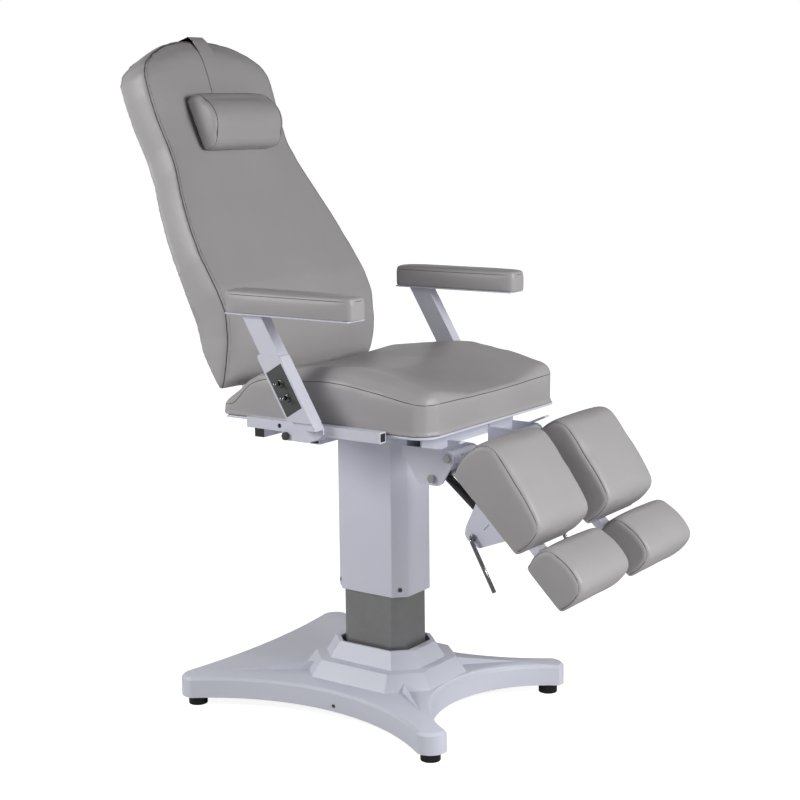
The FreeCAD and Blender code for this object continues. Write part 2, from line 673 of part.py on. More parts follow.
def build_seat_frame():
    top = d.seat_plate_bottom
    bottom = d.head_plate_bottom + d.head_plate_thick
    side_low = d.side_rail_bottom
    cross_low = side_low - d.cross_tube_height
    pieces = []
    for name, side in SIDES:
        low, wide = span(side, d.rail_y, d.rail_y + d.rail_width)
        rail = hollow((-d.rail_rear, low, bottom), (d.beam_rear, low + wide, top), 0)
        slot_low, slot_wide = span(side, d.rail_y + d.rail_width - d.tube_wall * 2,
                                   d.rail_y + d.rail_width + d.tube_wall)
        slot = block((d.rail_front, slot_low, bottom - d.tube_wall),
                     (d.rail_front + d.rail_slot, slot_low + slot_wide, top - d.tube_wall * 3))
        barrel = rod("y", (-d.back_hinge_x, d.back_hinge_z), low, low + wide,
                     d.back_hinge_radius + d.tube_wall * 2)
        pin_hole = rod("y", (-d.back_hinge_x, d.back_hinge_z), low - d.tube_wall,
                       low + wide + d.tube_wall, d.back_hinge_radius)
        pieces.append(cut(join(cut(rail, slot), barrel), pin_hole))
        low, wide = span(side, d.side_rail_outer - d.side_rail_width, d.side_rail_outer)
        side_rail = hollow((-d.side_rail_rear, low, side_low),
                           (d.side_rail_front, low + wide, side_low + d.side_rail_height), 0)
        hole = rod("y", (-d.rail_hole_x, side_low + d.side_rail_height / 2), low - d.tube_wall,
                   low + wide + d.tube_wall, d.rail_hole_radius)
        pieces.append(cut(side_rail, hole))
        low, wide = span(side, d.side_rail_outer - d.arm_plate_thick, d.side_rail_outer)
        bracket = plate("XZ_Plane", arm_bracket_outline(), low, wide,
                        holes=[(-d.arm_pivot_x, d.arm_pivot_z, d.arm_pin_radius)])
        soften(bracket, arm_bracket_outline()[:1], d.arm_plate_thick * 2, 1)
        pieces.append(bracket)
    reach = d.side_rail_outer - d.arm_plate_thick
    for start in (-d.cross_rear, d.cross_front):
        pieces.append(hollow((start, -reach, cross_low),
                             (start + d.cross_tube_depth, reach, side_low), 1))
    beam_end = d.bracket_outer - d.bracket_thick
    pieces.append(hollow((d.beam_rear, -beam_end, d.beam_bottom),
                         (d.beam_rear + d.beam_depth, beam_end, top), 1))
    lug_y = d.rail_y + d.rail_width
    eye = d.drive_eye_radius
    pieces.append(block((d.back_drive_x - eye, lug_y, d.back_drive_z - eye),
                        (d.back_drive_x + eye, lug_y + d.bracket_thick, bottom + eye)))
    pieces.append(rod("y", (d.back_drive_x, d.back_drive_z), lug_y,
                      d.back_drive_y + d.drive_eye_width / 2 + d.bracket_thick / 2, d.drive_pin_radius))
    frame = join(*pieces)
    node(frame, "seat_frame")
    plugs = []
    for name, side in SIDES:
        low, wide = span(side, reach, reach + d.plug_thick)
        plugs.append(block((-d.cross_rear, low, cross_low),
                           (-d.cross_rear + d.cross_tube_depth, low + wide, side_low)))
        low, wide = span(side, d.side_rail_outer - d.side_rail_width + d.tube_wall,
                         d.side_rail_outer - d.tube_wall)
        plugs.append(block((d.side_rail_front - d.plug_thick, low, side_low + d.tube_wall),
                           (d.side_rail_front, low + wide,
                            side_low + d.side_rail_height - d.tube_wall)))
    node(group(*plugs), "frame_end_plugs")


def arm_bracket_outline():
    low, top = d.arm_bracket_bottom, d.side_rail_bottom
    return [(-d.arm_bracket_rear, low), (d.arm_bracket_front / 3, low),
            (d.arm_bracket_front * 0.8, low + (top - low) / 2), (d.arm_bracket_front, top),
            (-d.arm_bracket_rear, top)]


build_head_plate()
build_seat_frame()


# Seat plate: the painted tray whose rim shows under the cushion

def build_seat_plate():
    half = d.seat_half_width
    corners = [(-d.seat_rear + d.tube_wall * 4, -half), (d.seat_front, -half), (d.seat_front, half),
               (-d.seat_rear + d.tube_wall * 4, half)]
    body = plate("XY_Plane", corners, d.seat_plate_bottom, d.seat_plate_thick)
    soften(body, corners[1:3], d.seat_corner_radius, 2)
    node(body, "seat_plate")


build_seat_plate()


# Seat cushion: a crowned pad with raised side bolsters, a dished middle, a front that rolls
# down over the knees and a rounded tail under the back rest

# where the sewn top edge runs along the side: share of depth from the tail, share of rise
seat_edge_shares = ((0.012, 0.27), (0.06, 0.47), (0.123, 0.81), (0.187, 1.0), (0.405, 0.97),
                    (0.508, 1.02), (0.606, 1.01), (0.8, 0.855), (0.967, 0.71))
# sections across the seat: share of half width, front draw-in, bolster share, dish share
seat_across_shares = ((1.0, 0.15, 0, 0), (0.975, 0.105, 0.16, 0), (0.93, 0.05, 0.62, 0),
                      (0.83, 0, 1.0, 0), (0.62, 0, 0.7, 0.25), (0.34, 0, 0.3, 0.75), (0, 0, 0.22, 1.0))
seat_bolster_shares = (0.3, 0.55, 0.18, 0.15, 0.8, 0.85, 0.95, 1.0, 0.8)
seat_tail_shares = (1.0, 0, 0, 0, 0, 0, 0, 0, 0)


def seat_section(y, draw, bolster, dish):
    base = float(d.seat_plate_bottom) + float(d.seat_plate_thick)
    tail, nose = -float(d.seat_rear), float(d.seat_front) + float(d.cushion_overhang)
    depth, rise = nose - tail, float(d.cushion_rise)
    inset = depth * draw / 2
    swell = float(d.cushion_tail) * (1 - draw / seat_across_shares[0][1])
    points = []
    for (along, up), lift, drop in zip(seat_edge_shares, seat_bolster_shares, seat_tail_shares):
        x = tail + depth * along - swell * drop
        z = base + rise * up + float(d.cushion_bolster) * bolster * lift - float(d.cushion_dish) * dish
        points.append(Vector(min(x, nose - inset - rise * nose_round_share), y, z))
    start = Vector(tail - swell + rise * tail_round_share, y, base)
    bulge = Vector(tail - swell, y, base + rise * tail_round_share)
    last = points[-1]
    front_low = Vector(nose - inset, y, base)
    front_high = Vector(nose - inset, y, base + rise * 0.55)
    shoulder = (last + front_high) * 0.5 + Vector(rise, 0, rise) * shoulder_share
    edges = [Part.Arc(start, bulge, points[0]).toShape()]
    for i in range(len(points) - 1):
        edges.append(Part.LineSegment(points[i], points[i + 1]).toShape())
    edges.append(Part.Arc(last, shoulder, front_high).toShape())
    edges.append(Part.LineSegment(front_high, front_low).toShape())
    edges.append(Part.LineSegment(front_low, start).toShape())
    return Part.Wire(edges)


nose_round_share = 0.14
tail_round_share = 0.12
shoulder_share = 0.05


def build_seat_cushion():
    half = float(d.seat_half_width) + float(d.cushion_overhang)
    wires = []
    for share, draw, bolster, dish in seat_across_shares:
        wires.append(seat_section(-half * share, draw, bolster, dish))
    for share, draw, bolster, dish in reversed(seat_across_shares[:-1]):
        wires.append(seat_section(half * share, draw, bolster, dish))
    shaped("seat_cushion", Part.makeLoft(wires, True, True))


build_seat_cushion()


# Back rest: a padded shell, narrow at the head and wide at the hips

# stations up the front face: share of height, share of setback, share of half width, thickness
back_stations = ((-0.005, -0.0445, 0.955, 0.045), (0.0025, -0.046, 0.97, 0.102),
                 (0.0228, -0.048, 0.985, 0.29), (0.0594, -0.04, 1.0, 0.534),
                 (0.1176, -0.012, 1.0, 0.93), (0.154, -0.003, 0.99, 1.045), (0.223, 0.012, 0.985, 1.17),
                 (0.29, 0.086, 0.995, 1.12), (0.383, 0.228, 0.985, 1.02), (0.46, 0.338, 0.95, 1.0),
                 (0.544, 0.454, 0.885, 0.98), (0.622, 0.552, 0.81, 0.98), (0.679, 0.626, 0.785, 0.97),
                 (0.76, 0.712, 0.80, 0.97), (0.834, 0.772, 0.812, 1.01), (0.89, 0.815, 0.8, 1.03),
                 (0.925, 0.848, 0.74, 1.02), (0.956, 0.878, 0.6, 0.95), (0.982, 0.902, 0.42, 0.86),
                 (1.0, 0.918, 0.2, 0.7))


def back_points():
    """Each station's front face point and the unit vectors along and out of the face."""
    low, high = float(d.back_face_bottom), float(d.back_face_height)
    face, run = float(d.back_face_x), float(d.back_setback)
    spots = [Vector(-face - run * back, 0, low + high * up) for up, back, _, _ in back_stations]
    for i, spot in enumerate(spots):
        before = spots[max(i - 1, 0)]
        after = spots[min(i + 1, len(spots) - 1)]
        along = after - before
        along.normalize()
        out = Vector(along.z, 0, -along.x)
        yield spot, along, out, back_stations[i][2], back_stations[i][3]


def front_draw(deep):
    """How far the front face draws back where the cushion thins, as a share of its thickness."""
    return max(1 - deep, 0) / 2


def rear_reach(deep):
    """How far the rear face lies behind a station, as a share of the thickness."""
    return deep + front_draw(deep)


def back_section(spot, out, half, front, rear, crown, bulge):
    """A closed section: crowned front, bowed sides and flat rear."""
    y = Vector(0, 1, 0)
    right, left = spot - y * half + out * front, spot + y * half + out * front
    inset = y * (half - bulge * 2)
    back_right, back_left = spot - inset - out * rear, spot + inset - out * rear
    middle = out * ((front - rear) / 2)
    edges = [Part.Arc(right, spot + out * (front + crown), left).toShape(),
             Part.Arc(left, spot + y * (half + bulge / 2) + middle, back_left).toShape(),
             Part.LineSegment(back_left, back_right).toShape(),
             Part.Arc(back_right, spot - y * (half + bulge / 2) + middle, right).toShape()]
    return Part.Wire(edges)


def build_back_cushion():
    thick, half = float(d.back_thick), float(d.back_half_width)
    wires = []
    for spot, along, out, wide, deep in back_points():
        centre = spot - out * (thick * front_draw(deep))
        wires.append(back_section(centre, out, half * wide, 0, thick * deep,
                                  float(d.back_crown) * wide, thick * bulge_share))
    shaped("back_cushion", Part.makeLoft(wires, True, True))


bulge_share = 0.05


def rear_line(offset, stations):
    """Points behind the cushion at some stations, at a distance from its rear face."""
    return [spot - out * (float(d.back_thick) * rear_reach(deep) + offset)
            for spot, along, out, wide, deep in list(back_points())[stations]]


def band(front, rear, y_low, y_high):
    """A flat-sided piece between two lines of points, from one side to the other."""
    outline = [Vector(p.x, y_low, p.z) for p in front + rear[::-1]]
    face = Part.Face(Part.makePolygon(outline + outline[:1]))
    return face.extrude(Vector(0, y_high - y_low, 0))


# stations that the board spans, and those that the steel arms span
board_stations = slice(4, 16)
arm_stations = slice(4, 10)


def build_back_board():
    near = rear_line(0, board_stations)
    far = rear_line(float(d.back_board_thick), board_stations)
    wires = []
    for front, rear, row in zip(near, far, back_stations[board_stations]):
        half = Vector(0, float(d.back_half_width) * row[2] - float(d.back_board_inset), 0)
        corners = [front - half, front + half, rear + half, rear - half]
        wires.append(Part.makePolygon(corners + corners[:1]))
    shaped("back_board", Part.makeLoft(wires, True, True))


build_back_cushion()
build_back_board()


# Steel back frame: two arms from the hinge up the board, tied by cross bars. The left arm
# has the lever that the back drive pushes

def back_frame_lines():
    """The front and rear lines of the arms, up the board."""
    skin = float(d.back_board_thick)
    return rear_line(skin, arm_stations), rear_line(skin + float(d.back_arm_depth), arm_stations)


def build_back_arm(name, side):
    hinge = Vector(-float(d.back_hinge_x), 0, float(d.back_hinge_z))
    width, inner = float(d.back_arm_width), float(d.back_arm_inner)
    front, rear = back_frame_lines()
    eye_radius = float(d.back_hinge_radius) + float(d.back_arm_depth) / 3
    low = inner if side > 0 else -inner - width
    rise = Vector(0, 0, eye_radius * neck_share)
    elbow = Vector(-float(d.back_elbow_x), 0, hinge.z) - rise
    inside = elbow + rise * 2 + Vector(float(d.back_arm_depth), 0, 0)
    arm = band([hinge + rise, inside] + front, [hinge - rise, elbow] + rear, low, low + width)
    eye = Part.makeCylinder(eye_radius, width, Vector(hinge.x, low, hinge.z), Vector(0, 1, 0))
    pieces = [arm, eye]
    cuts = [Part.makeCylinder(float(d.back_hinge_radius) + float(d.running_gap), width * 3,
                              Vector(hinge.x, low - width, hinge.z), Vector(0, 1, 0))]
    if side > 0:
        lever_pin = Vector(-float(d.back_lever_x), 0, float(d.back_lever_z))
        way = lever_pin - hinge
        way.normalize()
        across = Vector(way.z, 0, -way.x) * eye_radius
        pieces.append(band([hinge + across, lever_pin + across], [hinge - across, lever_pin - across],
                           low, low + width))
        pieces.append(Part.makeCylinder(float(d.drive_eye_radius) + float(d.drive_slot), width,
                                        Vector(lever_pin.x, low, lever_pin.z), Vector(0, 1, 0)))
        cuts.append(Part.makeCylinder(float(d.drive_slot), width * 3,
                                      Vector(lever_pin.x, low - width, lever_pin.z), Vector(0, 1, 0)))
    shaped("back_arm_" + name, pieces[0].fuse(pieces[1:]).cut(cuts).removeSplitter())


def build_back_bars():
    inner = float(d.back_arm_inner)
    front, rear = back_frame_lines()
    bars = [band(front[i:i + 2], rear[i:i + 2], -inner, inner) for i in bar_stations]
    shaped("back_cross_bars", Part.Compound(bars))
    pins = []
    for name, side in SIDES:
        low, wide = span(side, d.rail_y - d.tube_wall * 2,
                         d.back_arm_inner + d.back_arm_width + d.tube_wall)
        pins.append(rod("y", (-d.back_hinge_x, d.back_hinge_z), low, low + wide, d.back_hinge_radius))
    node(group(*pins), "back_hinge_pins")


neck_share = 0.6
bar_stations = (1, 4)
for back_arm_name, back_arm_side in SIDES:
    build_back_arm(back_arm_name, back_arm_side)
build_back_bars()


# Head pillow on its strap, which runs over the top of the back rest

def face_at(height):
    """The front face's point at a height, the way along the face, the way out of it and its width."""
    spots = list(back_points())
    for (low, _, _, low_wide, _), (high, _, _, _, _) in zip(spots, spots[1:]):
        if low.z <= height <= high.z:
            along = high - low
            centre = low + along * ((height - low.z) / (high.z - low.z))
            along.normalize()
            return centre, along, Vector(along.z, 0, -along.x), low_wide


# the strap's lift off the cover, as a share of its thickness, and where it ends behind the back
strap_lift_share = 0.35
strap_rear_stop = -6


def build_strap():
    thick = float(d.strap_thick)
    crown = float(d.back_crown)
    half = float(d.strap_width) / 2
    spots = list(back_points())
    start = face_at(float(d.strap_front_end))
    full = 1
    near, far = [], []
    rows = [start + (full,)] + [row for row in spots if row[0].z > start[0].z]
    for spot, along, out, wide, deep in rows:
        proud = crown * wide + strap_lift_share * thick
        surface = spot - out * (float(d.back_thick) * front_draw(deep))
        near.append(surface + out * proud)
        far.append(surface + out * (proud + thick))
    top_spot, along, out, wide, deep = spots[-1]
    over = top_spot + along * (thick * strap_lift_share) - out * (float(d.back_thick) / 2)
    near.append(over)
    far.append(over + along * thick)
    for spot, along, out, wide, deep in spots[:strap_rear_stop:-1]:
        rear = float(d.back_thick) * rear_reach(deep) + strap_lift_share * thick
        near.append(spot - out * rear)
        far.append(spot - out * (rear + thick))
    shaped("pillow_strap", band(near, far, -half, half))


def build_pillow():
    wide = face_at(float(d.pillow_middle))[3]
    reach = float(d.pillow_height) / 2 * pillow_reach_share
    lower = face_at(float(d.pillow_middle) - reach)[0]
    upper = face_at(float(d.pillow_middle) + reach)[0]
    centre, along = (lower + upper) * 0.5, upper - lower
    along.normalize()
    out = Vector(along.z, 0, -along.x)
    lift = float(d.strap_thick) * (1 + strap_lift_share)
    back = float(d.back_crown) * wide + lift + float(d.pillow_gap)
    wires = []
    for across, size in pillow_shares:
        up = along * (float(d.pillow_height) / 2 * size)
        depth = out * (float(d.pillow_depth) * size)
        middle = centre + Vector(0, float(d.pillow_length) / 2 * across, 0) + out * back
        low, high = middle - up, middle + up
        corner, bow = depth * pillow_corner_share, up * pillow_bow_share
        low_corner = middle - up * pillow_face_share + corner
        high_corner = middle + up * pillow_face_share + corner
        edges = [Part.LineSegment(high, low).toShape(),
                 Part.Arc(low, low + corner * 0.5 - bow, low_corner).toShape(),
                 Part.Arc(low_corner, middle + depth, high_corner).toShape(),
                 Part.Arc(high_corner, high + corner * 0.5 + bow, high).toShape()]
        wires.append(Part.Wire(edges))
    shaped("pillow", Part.makeLoft(wires, True, True))


pillow_reach_share = 0.92
# where the pillow's front bends: share of its depth and of its half height, and the sides' bow
pillow_corner_share = 0.72
pillow_face_share = 0.66
pillow_bow_share = 0.04
# across the pillow: share of half length and share of full section
pillow_shares = ((-1.0, 0.86), (-0.975, 0.95), (-0.93, 0.985), (-0.6, 1.0), (0.6, 1.0), (0.93, 0.985),
                 (0.975, 0.95), (1.0, 0.86))

build_strap()
build_pillow()


# Arm rests: a slanted tube on a foot plate, with a steel plate under the pad

def arm_tube_inner():
    return d.side_rail_outer + d.arm_gap + d.arm_tube_step


def arm_tube_outer():
    return arm_tube_inner() + d.arm_tube_thick


def arm_pad_outer():
    return arm_tube_outer() + d.arm_pad_overhang


def arm_tube_foot():
    return d.arm_pivot_z + d.arm_foot_rise


def box_outer():
    return arm_tube_outer() + d.box_room


def arm_tube_outline():
    rise = d.arm_pad_bottom - d.arm_pad_plate
    half = d.arm_tube_width / 2
    return [(d.arm_tube_foot_x - half, arm_tube_foot()), (d.arm_tube_foot_x + half, arm_tube_foot()),
            (-d.arm_tube_top_x + half, rise), (-d.arm_tube_top_x - half, rise)]


def arm_foot_outline():
    half = d.arm_tube_width / 2
    lap = d.arm_tube_width / 4
    top = arm_tube_foot() + lap
    low = d.arm_pivot_z - d.arm_pin_radius * 1.6
    belly = (arm_tube_foot() - low) / 3
    lean = (d.arm_tube_foot_x + d.arm_tube_top_x) / (d.arm_pad_bottom - arm_tube_foot())
    shift = lap * lean
    front, lug = d.arm_tube_foot_x + half, d.arm_pin_radius * 2
    return [(-d.arm_pivot_x - lug, low), (front / 3, low), (front * 0.8, low + belly),
            (front, low + belly * 2), (front, arm_tube_foot()),
            (front - shift, top), (front - d.arm_tube_width - shift, top),
            (-d.arm_pivot_x - lug, d.arm_pivot_z + lug)]


def build_arm(name, side):
    low, wide = span(side, arm_tube_inner(), arm_tube_outer())
    tube = plate("XZ_Plane", arm_tube_outline(), low, wide)
    low, wide = span(side, d.side_rail_outer + d.arm_gap, d.side_rail_outer + d.arm_gap + d.arm_plate_thick)
    foot = plate("XZ_Plane", arm_foot_outline(), low, wide,
                 holes=[(-d.arm_pivot_x, d.arm_pivot_z, d.arm_pin_radius + d.running_gap)])
    inner, wide = span(side, arm_pad_outer() - d.arm_pad_width, arm_pad_outer())
    edge = d.arm_pad_plate
    under = block((-d.arm_pad_rear + edge, inner + edge, d.arm_pad_bottom - d.arm_pad_plate),
                  (d.arm_pad_length - d.arm_pad_rear - edge * 3, inner + wide - edge, d.arm_pad_bottom))
    node(join(tube, foot, under), "arm_frame_" + name)
    shaped("arm_pad_" + name, arm_pad_shape(side))


def arm_pad_shape(side):
    """A long pad with rounded ends and a slightly crowned top."""
    inner, wide = (float(s) for s in span(side, arm_pad_outer() - d.arm_pad_width, arm_pad_outer()))
    base, thick = float(d.arm_pad_bottom), float(d.arm_pad_thick)
    start, length = -float(d.arm_pad_rear), float(d.arm_pad_length)
    wires = []
    for along, draw in arm_pad_shares:
        x = start + length * along
        shrink = wide * draw
        low_y, high_y = inner + shrink, inner + wide - shrink
        top = base + thick - shrink * 0.5
        drop = thick * 0.16
        mid = (low_y + high_y) / 2
        edge = wide * 0.14
        points = [Vector(x, low_y, base), Vector(x, high_y, base), Vector(x, high_y, top - drop),
                  Vector(x, high_y - edge, top - drop * 0.15), Vector(x, low_y + edge, top - drop * 0.15),
                  Vector(x, low_y, top - drop)]
        edges = [Part.LineSegment(points[0], points[1]).toShape(),
                 Part.LineSegment(points[1], points[2]).toShape(),
                 Part.Arc(points[2], Vector(x, high_y - edge * 0.3, top - drop * 0.45),
                          points[3]).toShape(),
                 Part.Arc(points[3], Vector(x, mid, top), points[4]).toShape(),
                 Part.Arc(points[4], Vector(x, low_y + edge * 0.3, top - drop * 0.45), points[5]).toShape(),
                 Part.LineSegment(points[5], points[0]).toShape()]
        wires.append(Part.Wire(edges))
    return Part.makeLoft(wires, True, True)


# along the pad: share of length and share of width that each side is drawn in
arm_pad_shares = ((0.0, 0.13), (0.012, 0.055), (0.04, 0.01), (0.09, 0.0), (0.93, 0.0), (0.975, 0.035),
                  (0.992, 0.1), (1.0, 0.2))

for arm_name, arm_side in SIDES:
    build_arm(arm_name, arm_side)


def build_arm_pins():
    pins = []
    for name, side in SIDES:
        inner = d.side_rail_outer - d.arm_plate_thick
        outer = d.side_rail_outer + d.arm_gap * 2 + d.arm_plate_thick
        low, wide = span(side, inner, outer)
        shank = rod("y", (-d.arm_pivot_x, d.arm_pivot_z), low, low + wide, d.arm_pin_radius)
        low, wide = span(side, outer, outer + d.arm_plate_thick)
        head = rod("y", (-d.arm_pivot_x, d.arm_pivot_z), low, low + wide, d.arm_pin_radius * 1.5)
        pins.append(join(shank, head))
    node(group(*pins), "arm_pivot_bolts")


build_arm_pins()


# Control box wrapped round the right arm tube, with its panel and two toggle switches

def box_slant():
    run = float(d.arm_tube_foot_x + d.arm_tube_top_x)
    rise = float(d.arm_pad_bottom - d.arm_pad_plate - arm_tube_foot())
    return math.degrees(math.atan2(run, rise))


def box_place():
    """Local X across the tube, local Z up along it, local origin on the tube's middle line."""
    rise = float(d.arm_pad_bottom - d.arm_pad_plate - arm_tube_foot())
    run = float(d.arm_tube_foot_x + d.arm_tube_top_x)
    share = (float(d.box_middle_z) - float(arm_tube_foot())) / rise
    x = float(d.arm_tube_foot_x) - run * share
    return Placement(Vector(x, 0, float(d.box_middle_z)), Rotation(Vector(0, 1, 0), -box_slant()))


def build_control_box():
    place = box_place()
    outer = box_outer()
    inner = arm_tube_inner()
    depth = outer - inner - d.box_wall * 2
    shell = plate("XZ_Plane", box_outline(d.box_wall * 0), -outer, depth)
    hollow_out = plate("XZ_Plane", box_outline(d.box_wall), -outer + d.box_wall, depth)
    slot_half = d.arm_tube_width / 2 * slant_share()
    passage = block((-slot_half - d.arm_gap, -arm_tube_outer() - d.arm_gap, -d.box_length),
                    (slot_half + d.arm_gap, -inner + d.box_wall, d.box_length))
    lip = d.panel_thick
    opening = block((-d.panel_width / 2 + lip, -outer - d.box_wall, panel_low() + lip),
                    (d.panel_width / 2 - lip, -outer + d.box_wall * 2, panel_high() - lip))
    seat = block((-d.panel_width / 2, -outer - d.box_wall, panel_low()),
                 (d.panel_width / 2, -outer + d.panel_thick / 2, panel_high()))
    box = node(cut(shell, hollow_out, passage, opening, seat), "control_box")
    box.Placement = place
    face = block((-d.panel_width / 2, -outer + d.panel_thick / 2 - d.panel_thick, panel_low()),
                 (d.panel_width / 2, -outer + d.panel_thick / 2, panel_high()))
    holes = [rod("y", (0, z), -outer - d.box_wall, -outer + d.box_wall * 2,
                 d.toggle_radius + d.bush_bore_gap) for z in toggle_heights()]
    panel = node(cut(face, *holes), "control_panel")
    panel.Placement = place


def box_outline(inset):
    """Sides along the tube, a level top and foot, and the upper rear corner rounded."""
    half = d.box_width / 2 - inset
    top, foot = d.box_length / 2 - inset, -d.box_length / 2 + inset
    rise = half * math.tan(math.radians(box_slant()))
    corner = [(-half + d.box_corner * across, top + rise - d.box_corner * down)
              for across, down in box_corner_shares]
    return corner + [(half, top - rise), (half, foot - rise), (-half, foot + rise)]


# the rounded corner: shares of its size across and down from the sharp corner
box_corner_shares = ((0, 1), (0.29, 0.51), (0.85, 0.52))


def slant_share():
    """Width of the tube square to its own line, as a share of its level width."""
    return math.cos(math.radians(box_slant()))


def panel_low():
    return -d.panel_length / 2 - d.panel_drop


def panel_high():
    return d.panel_length / 2 - d.panel_drop


def toggle_heights():
    middle = -d.panel_drop
    return (middle + d.toggle_spacing / 2, middle - d.toggle_spacing / 2)


def build_switches():
    place = box_place()
    outer = box_outer()
    face = -outer + d.panel_thick / 2 - d.panel_thick
    back = -outer + d.panel_thick / 2
    bodies = []
    for z in toggle_heights():
        bush = cut(rod("y", (0, z), face - d.bush_height, back, d.toggle_radius + d.bush_bore_gap),
                   rod("y", (0, z), face - d.bush_height * 2, back + d.bush_height, d.toggle_radius
                       + d.bush_bore_gap / 2))
        ring = cut(prism("y", (0, z), face - d.bush_height / 2, face, d.bush_radius + d.toggle_radius),
                   rod("y", (0, z), face - d.bush_height, face + d.bush_height, d.toggle_radius
                       + d.bush_bore_gap / 2))
        body = block((-d.bush_radius, back, z - d.bush_radius * 1.6),
                     (d.bush_radius, -arm_tube_outer() - d.arm_gap, z + d.bush_radius * 1.6))
        socket = rod("x", (back, z), -d.bush_radius / 2, d.bush_radius / 2, d.toggle_radius * 1.8)
        bodies.append(cut(join(bush, ring, body), socket,
                          rod("y", (0, z), back - d.bush_height, back + d.toggle_radius,
                              d.toggle_radius + d.bush_bore_gap / 2)))
    switches = node(group(*bodies), "switch_bodies")
    switches.Placement = place
    for name, z in zip(("upper", "lower"), toggle_heights()):
        stem = doc.addObject("Part::Cone", "stem")
        stem.Placement = Placement(Vector(), Rotation(Vector(1, 0, 0), 90))
        bind(stem, "Radius1", d.toggle_radius * 0.6)
        bind(stem, "Radius2", d.toggle_radius)
        bind(stem, "Height", d.toggle_length + d.bush_height)
        bind(stem, "Placement.Base.y", back)
        bind(stem, "Placement.Base.z", z)
        ball = doc.addObject("Part::Sphere", "ball")
        bind(ball, "Radius", d.toggle_radius * 1.5)
        bind(ball, "Placement.Base.y", back - d.toggle_length - d.bush_height)
        bind(ball, "Placement.Base.z", z)
        pivot = rod("x", (back, z), -d.bush_radius * 0.45, d.bush_radius * 0.45, d.toggle_radius * 0.9)
        lever = node(join(stem, ball, pivot), "toggle_" + name)
        lever.Placement = place


build_control_box()
build_switches()


# Leg brackets on the ends of the front beam, with their pivot and strut bolts

def bracket_outline():
    px, pz, sx, sz = d.leg_pivot_x, d.leg_pivot_z, d.strut_pivot_x, d.strut_pivot_z
    top = pz + d.leg_sleeve_radius * 1.2
    rear = d.beam_rear - d.bracket_thick * 1.4
    ear = d.leg_sleeve_radius * 1.2
    return [(rear, top), (rear, top - ear * 1.4), (rear + ear * 0.75, top - ear * 1.8),
            (sx - ear * 2.7, sz), (sx - ear * 1.85, sz - ear * 0.9), (sx + ear * 0.85, sz - ear * 0.9),
            (sx + ear * 1.5, sz - ear * 0.5), (px + ear, pz - ear * 0.2), (px + ear * 0.7, pz + ear * 0.65),
            (px + ear * 0.1, top)]


def inner_bracket_outline():
    px, pz, sx, sz = d.leg_pivot_x, d.leg_pivot_z, d.strut_pivot_x, d.strut_pivot_z
    ear = d.leg_sleeve_radius * 1.2
    rear = d.beam_rear + d.beam_depth
    return [(rear, pz + ear), (rear, sz), (rear + ear * 0.6, sz - ear * 0.9), (sx + ear, sz - ear * 0.9),
            (px + ear, pz - ear * 0.4), (px + ear * 0.7, pz + ear * 0.7), (px, pz + ear)]


def build_bracket(name, side):
    bores = [(d.leg_pivot_x, d.leg_pivot_z, d.leg_pin_radius),
             (d.strut_pivot_x, d.strut_pivot_z, d.strut_pin_radius)]
    low, wide = span(side, d.bracket_outer - d.bracket_thick, d.bracket_outer)
    outline = bracket_outline()
    outer = plate("XZ_Plane", outline, low, wide, holes=bores)
    soften(outer, outline[3:9], d.leg_sleeve_radius * 0.5, 1)
    low, wide = span(side, d.bracket_inner, d.bracket_inner + d.bracket_thick)
    inner = plate("XZ_Plane", inner_bracket_outline(), low, wide, holes=bores)
    low, wide = span(side, d.bracket_outer - d.bracket_thick * 4, d.bracket_outer)
    tab_x = d.leg_pivot_x - d.leg_sleeve_radius
    tab_z = d.leg_pivot_z + d.leg_sleeve_radius * 1.05
    thick = d.bracket_thick * 0.8
    tip_x, tip_z = tab_x + d.leg_sleeve_radius * tab_reach_share, tab_z + d.bracket_thick * 4
    tab = plate("XZ_Plane", [(tab_x, tab_z - thick * 0.2), (tip_x, tip_z),
                             (tip_x - d.leg_sleeve_radius * 0.1, tip_z + thick),
                             (tab_x, tab_z + thick * 1.2)], low, wide)
    low, wide = span(side, d.bracket_inner, d.bracket_outer)
    face = d.beam_rear + d.beam_depth
    web = block((face, low, d.strut_pivot_z),
                (face + d.bracket_thick, low + wide, d.seat_plate_bottom - d.bracket_thick * 4))
    node(join(outer, inner, tab, web), "leg_bracket_" + name)


# how far the sloping tab reaches over the sleeve, in sleeve radii
tab_reach_share = 3.2


def build_bracket_bolts():
    bolts = []
    for name, side in SIDES:
        for x, z, radius in ((d.leg_pivot_x, d.leg_pivot_z, d.leg_pin_radius),
                             (d.strut_pivot_x, d.strut_pivot_z, d.strut_pin_radius)):
            low, wide = span(side, d.bracket_inner, d.bracket_outer)
            shank = rod("y", (x, z), low, low + wide, radius)
            low, wide = span(side, d.bracket_outer, d.bracket_outer + d.bolt_head_height)
            head = prism("y", (x, z), low, low + wide, d.bolt_head_radius)
            low, wide = span(side, d.bracket_inner - d.bolt_head_height, d.bracket_inner)
            nut = prism("y", (x, z), low, low + wide, d.bolt_head_radius)
            bolts.append(join(shank, head, nut))
    node(group(*bolts), "leg_bracket_bolts")


for bracket_name, bracket_side in SIDES:
    build_bracket(bracket_name, bracket_side)
build_bracket_bolts()


# Leg frame: hinge sleeve, box tube, calf plate and the two gussets that take the strut.
# Drawn along the leg: local X runs down the leg, local Z points out of the pad.

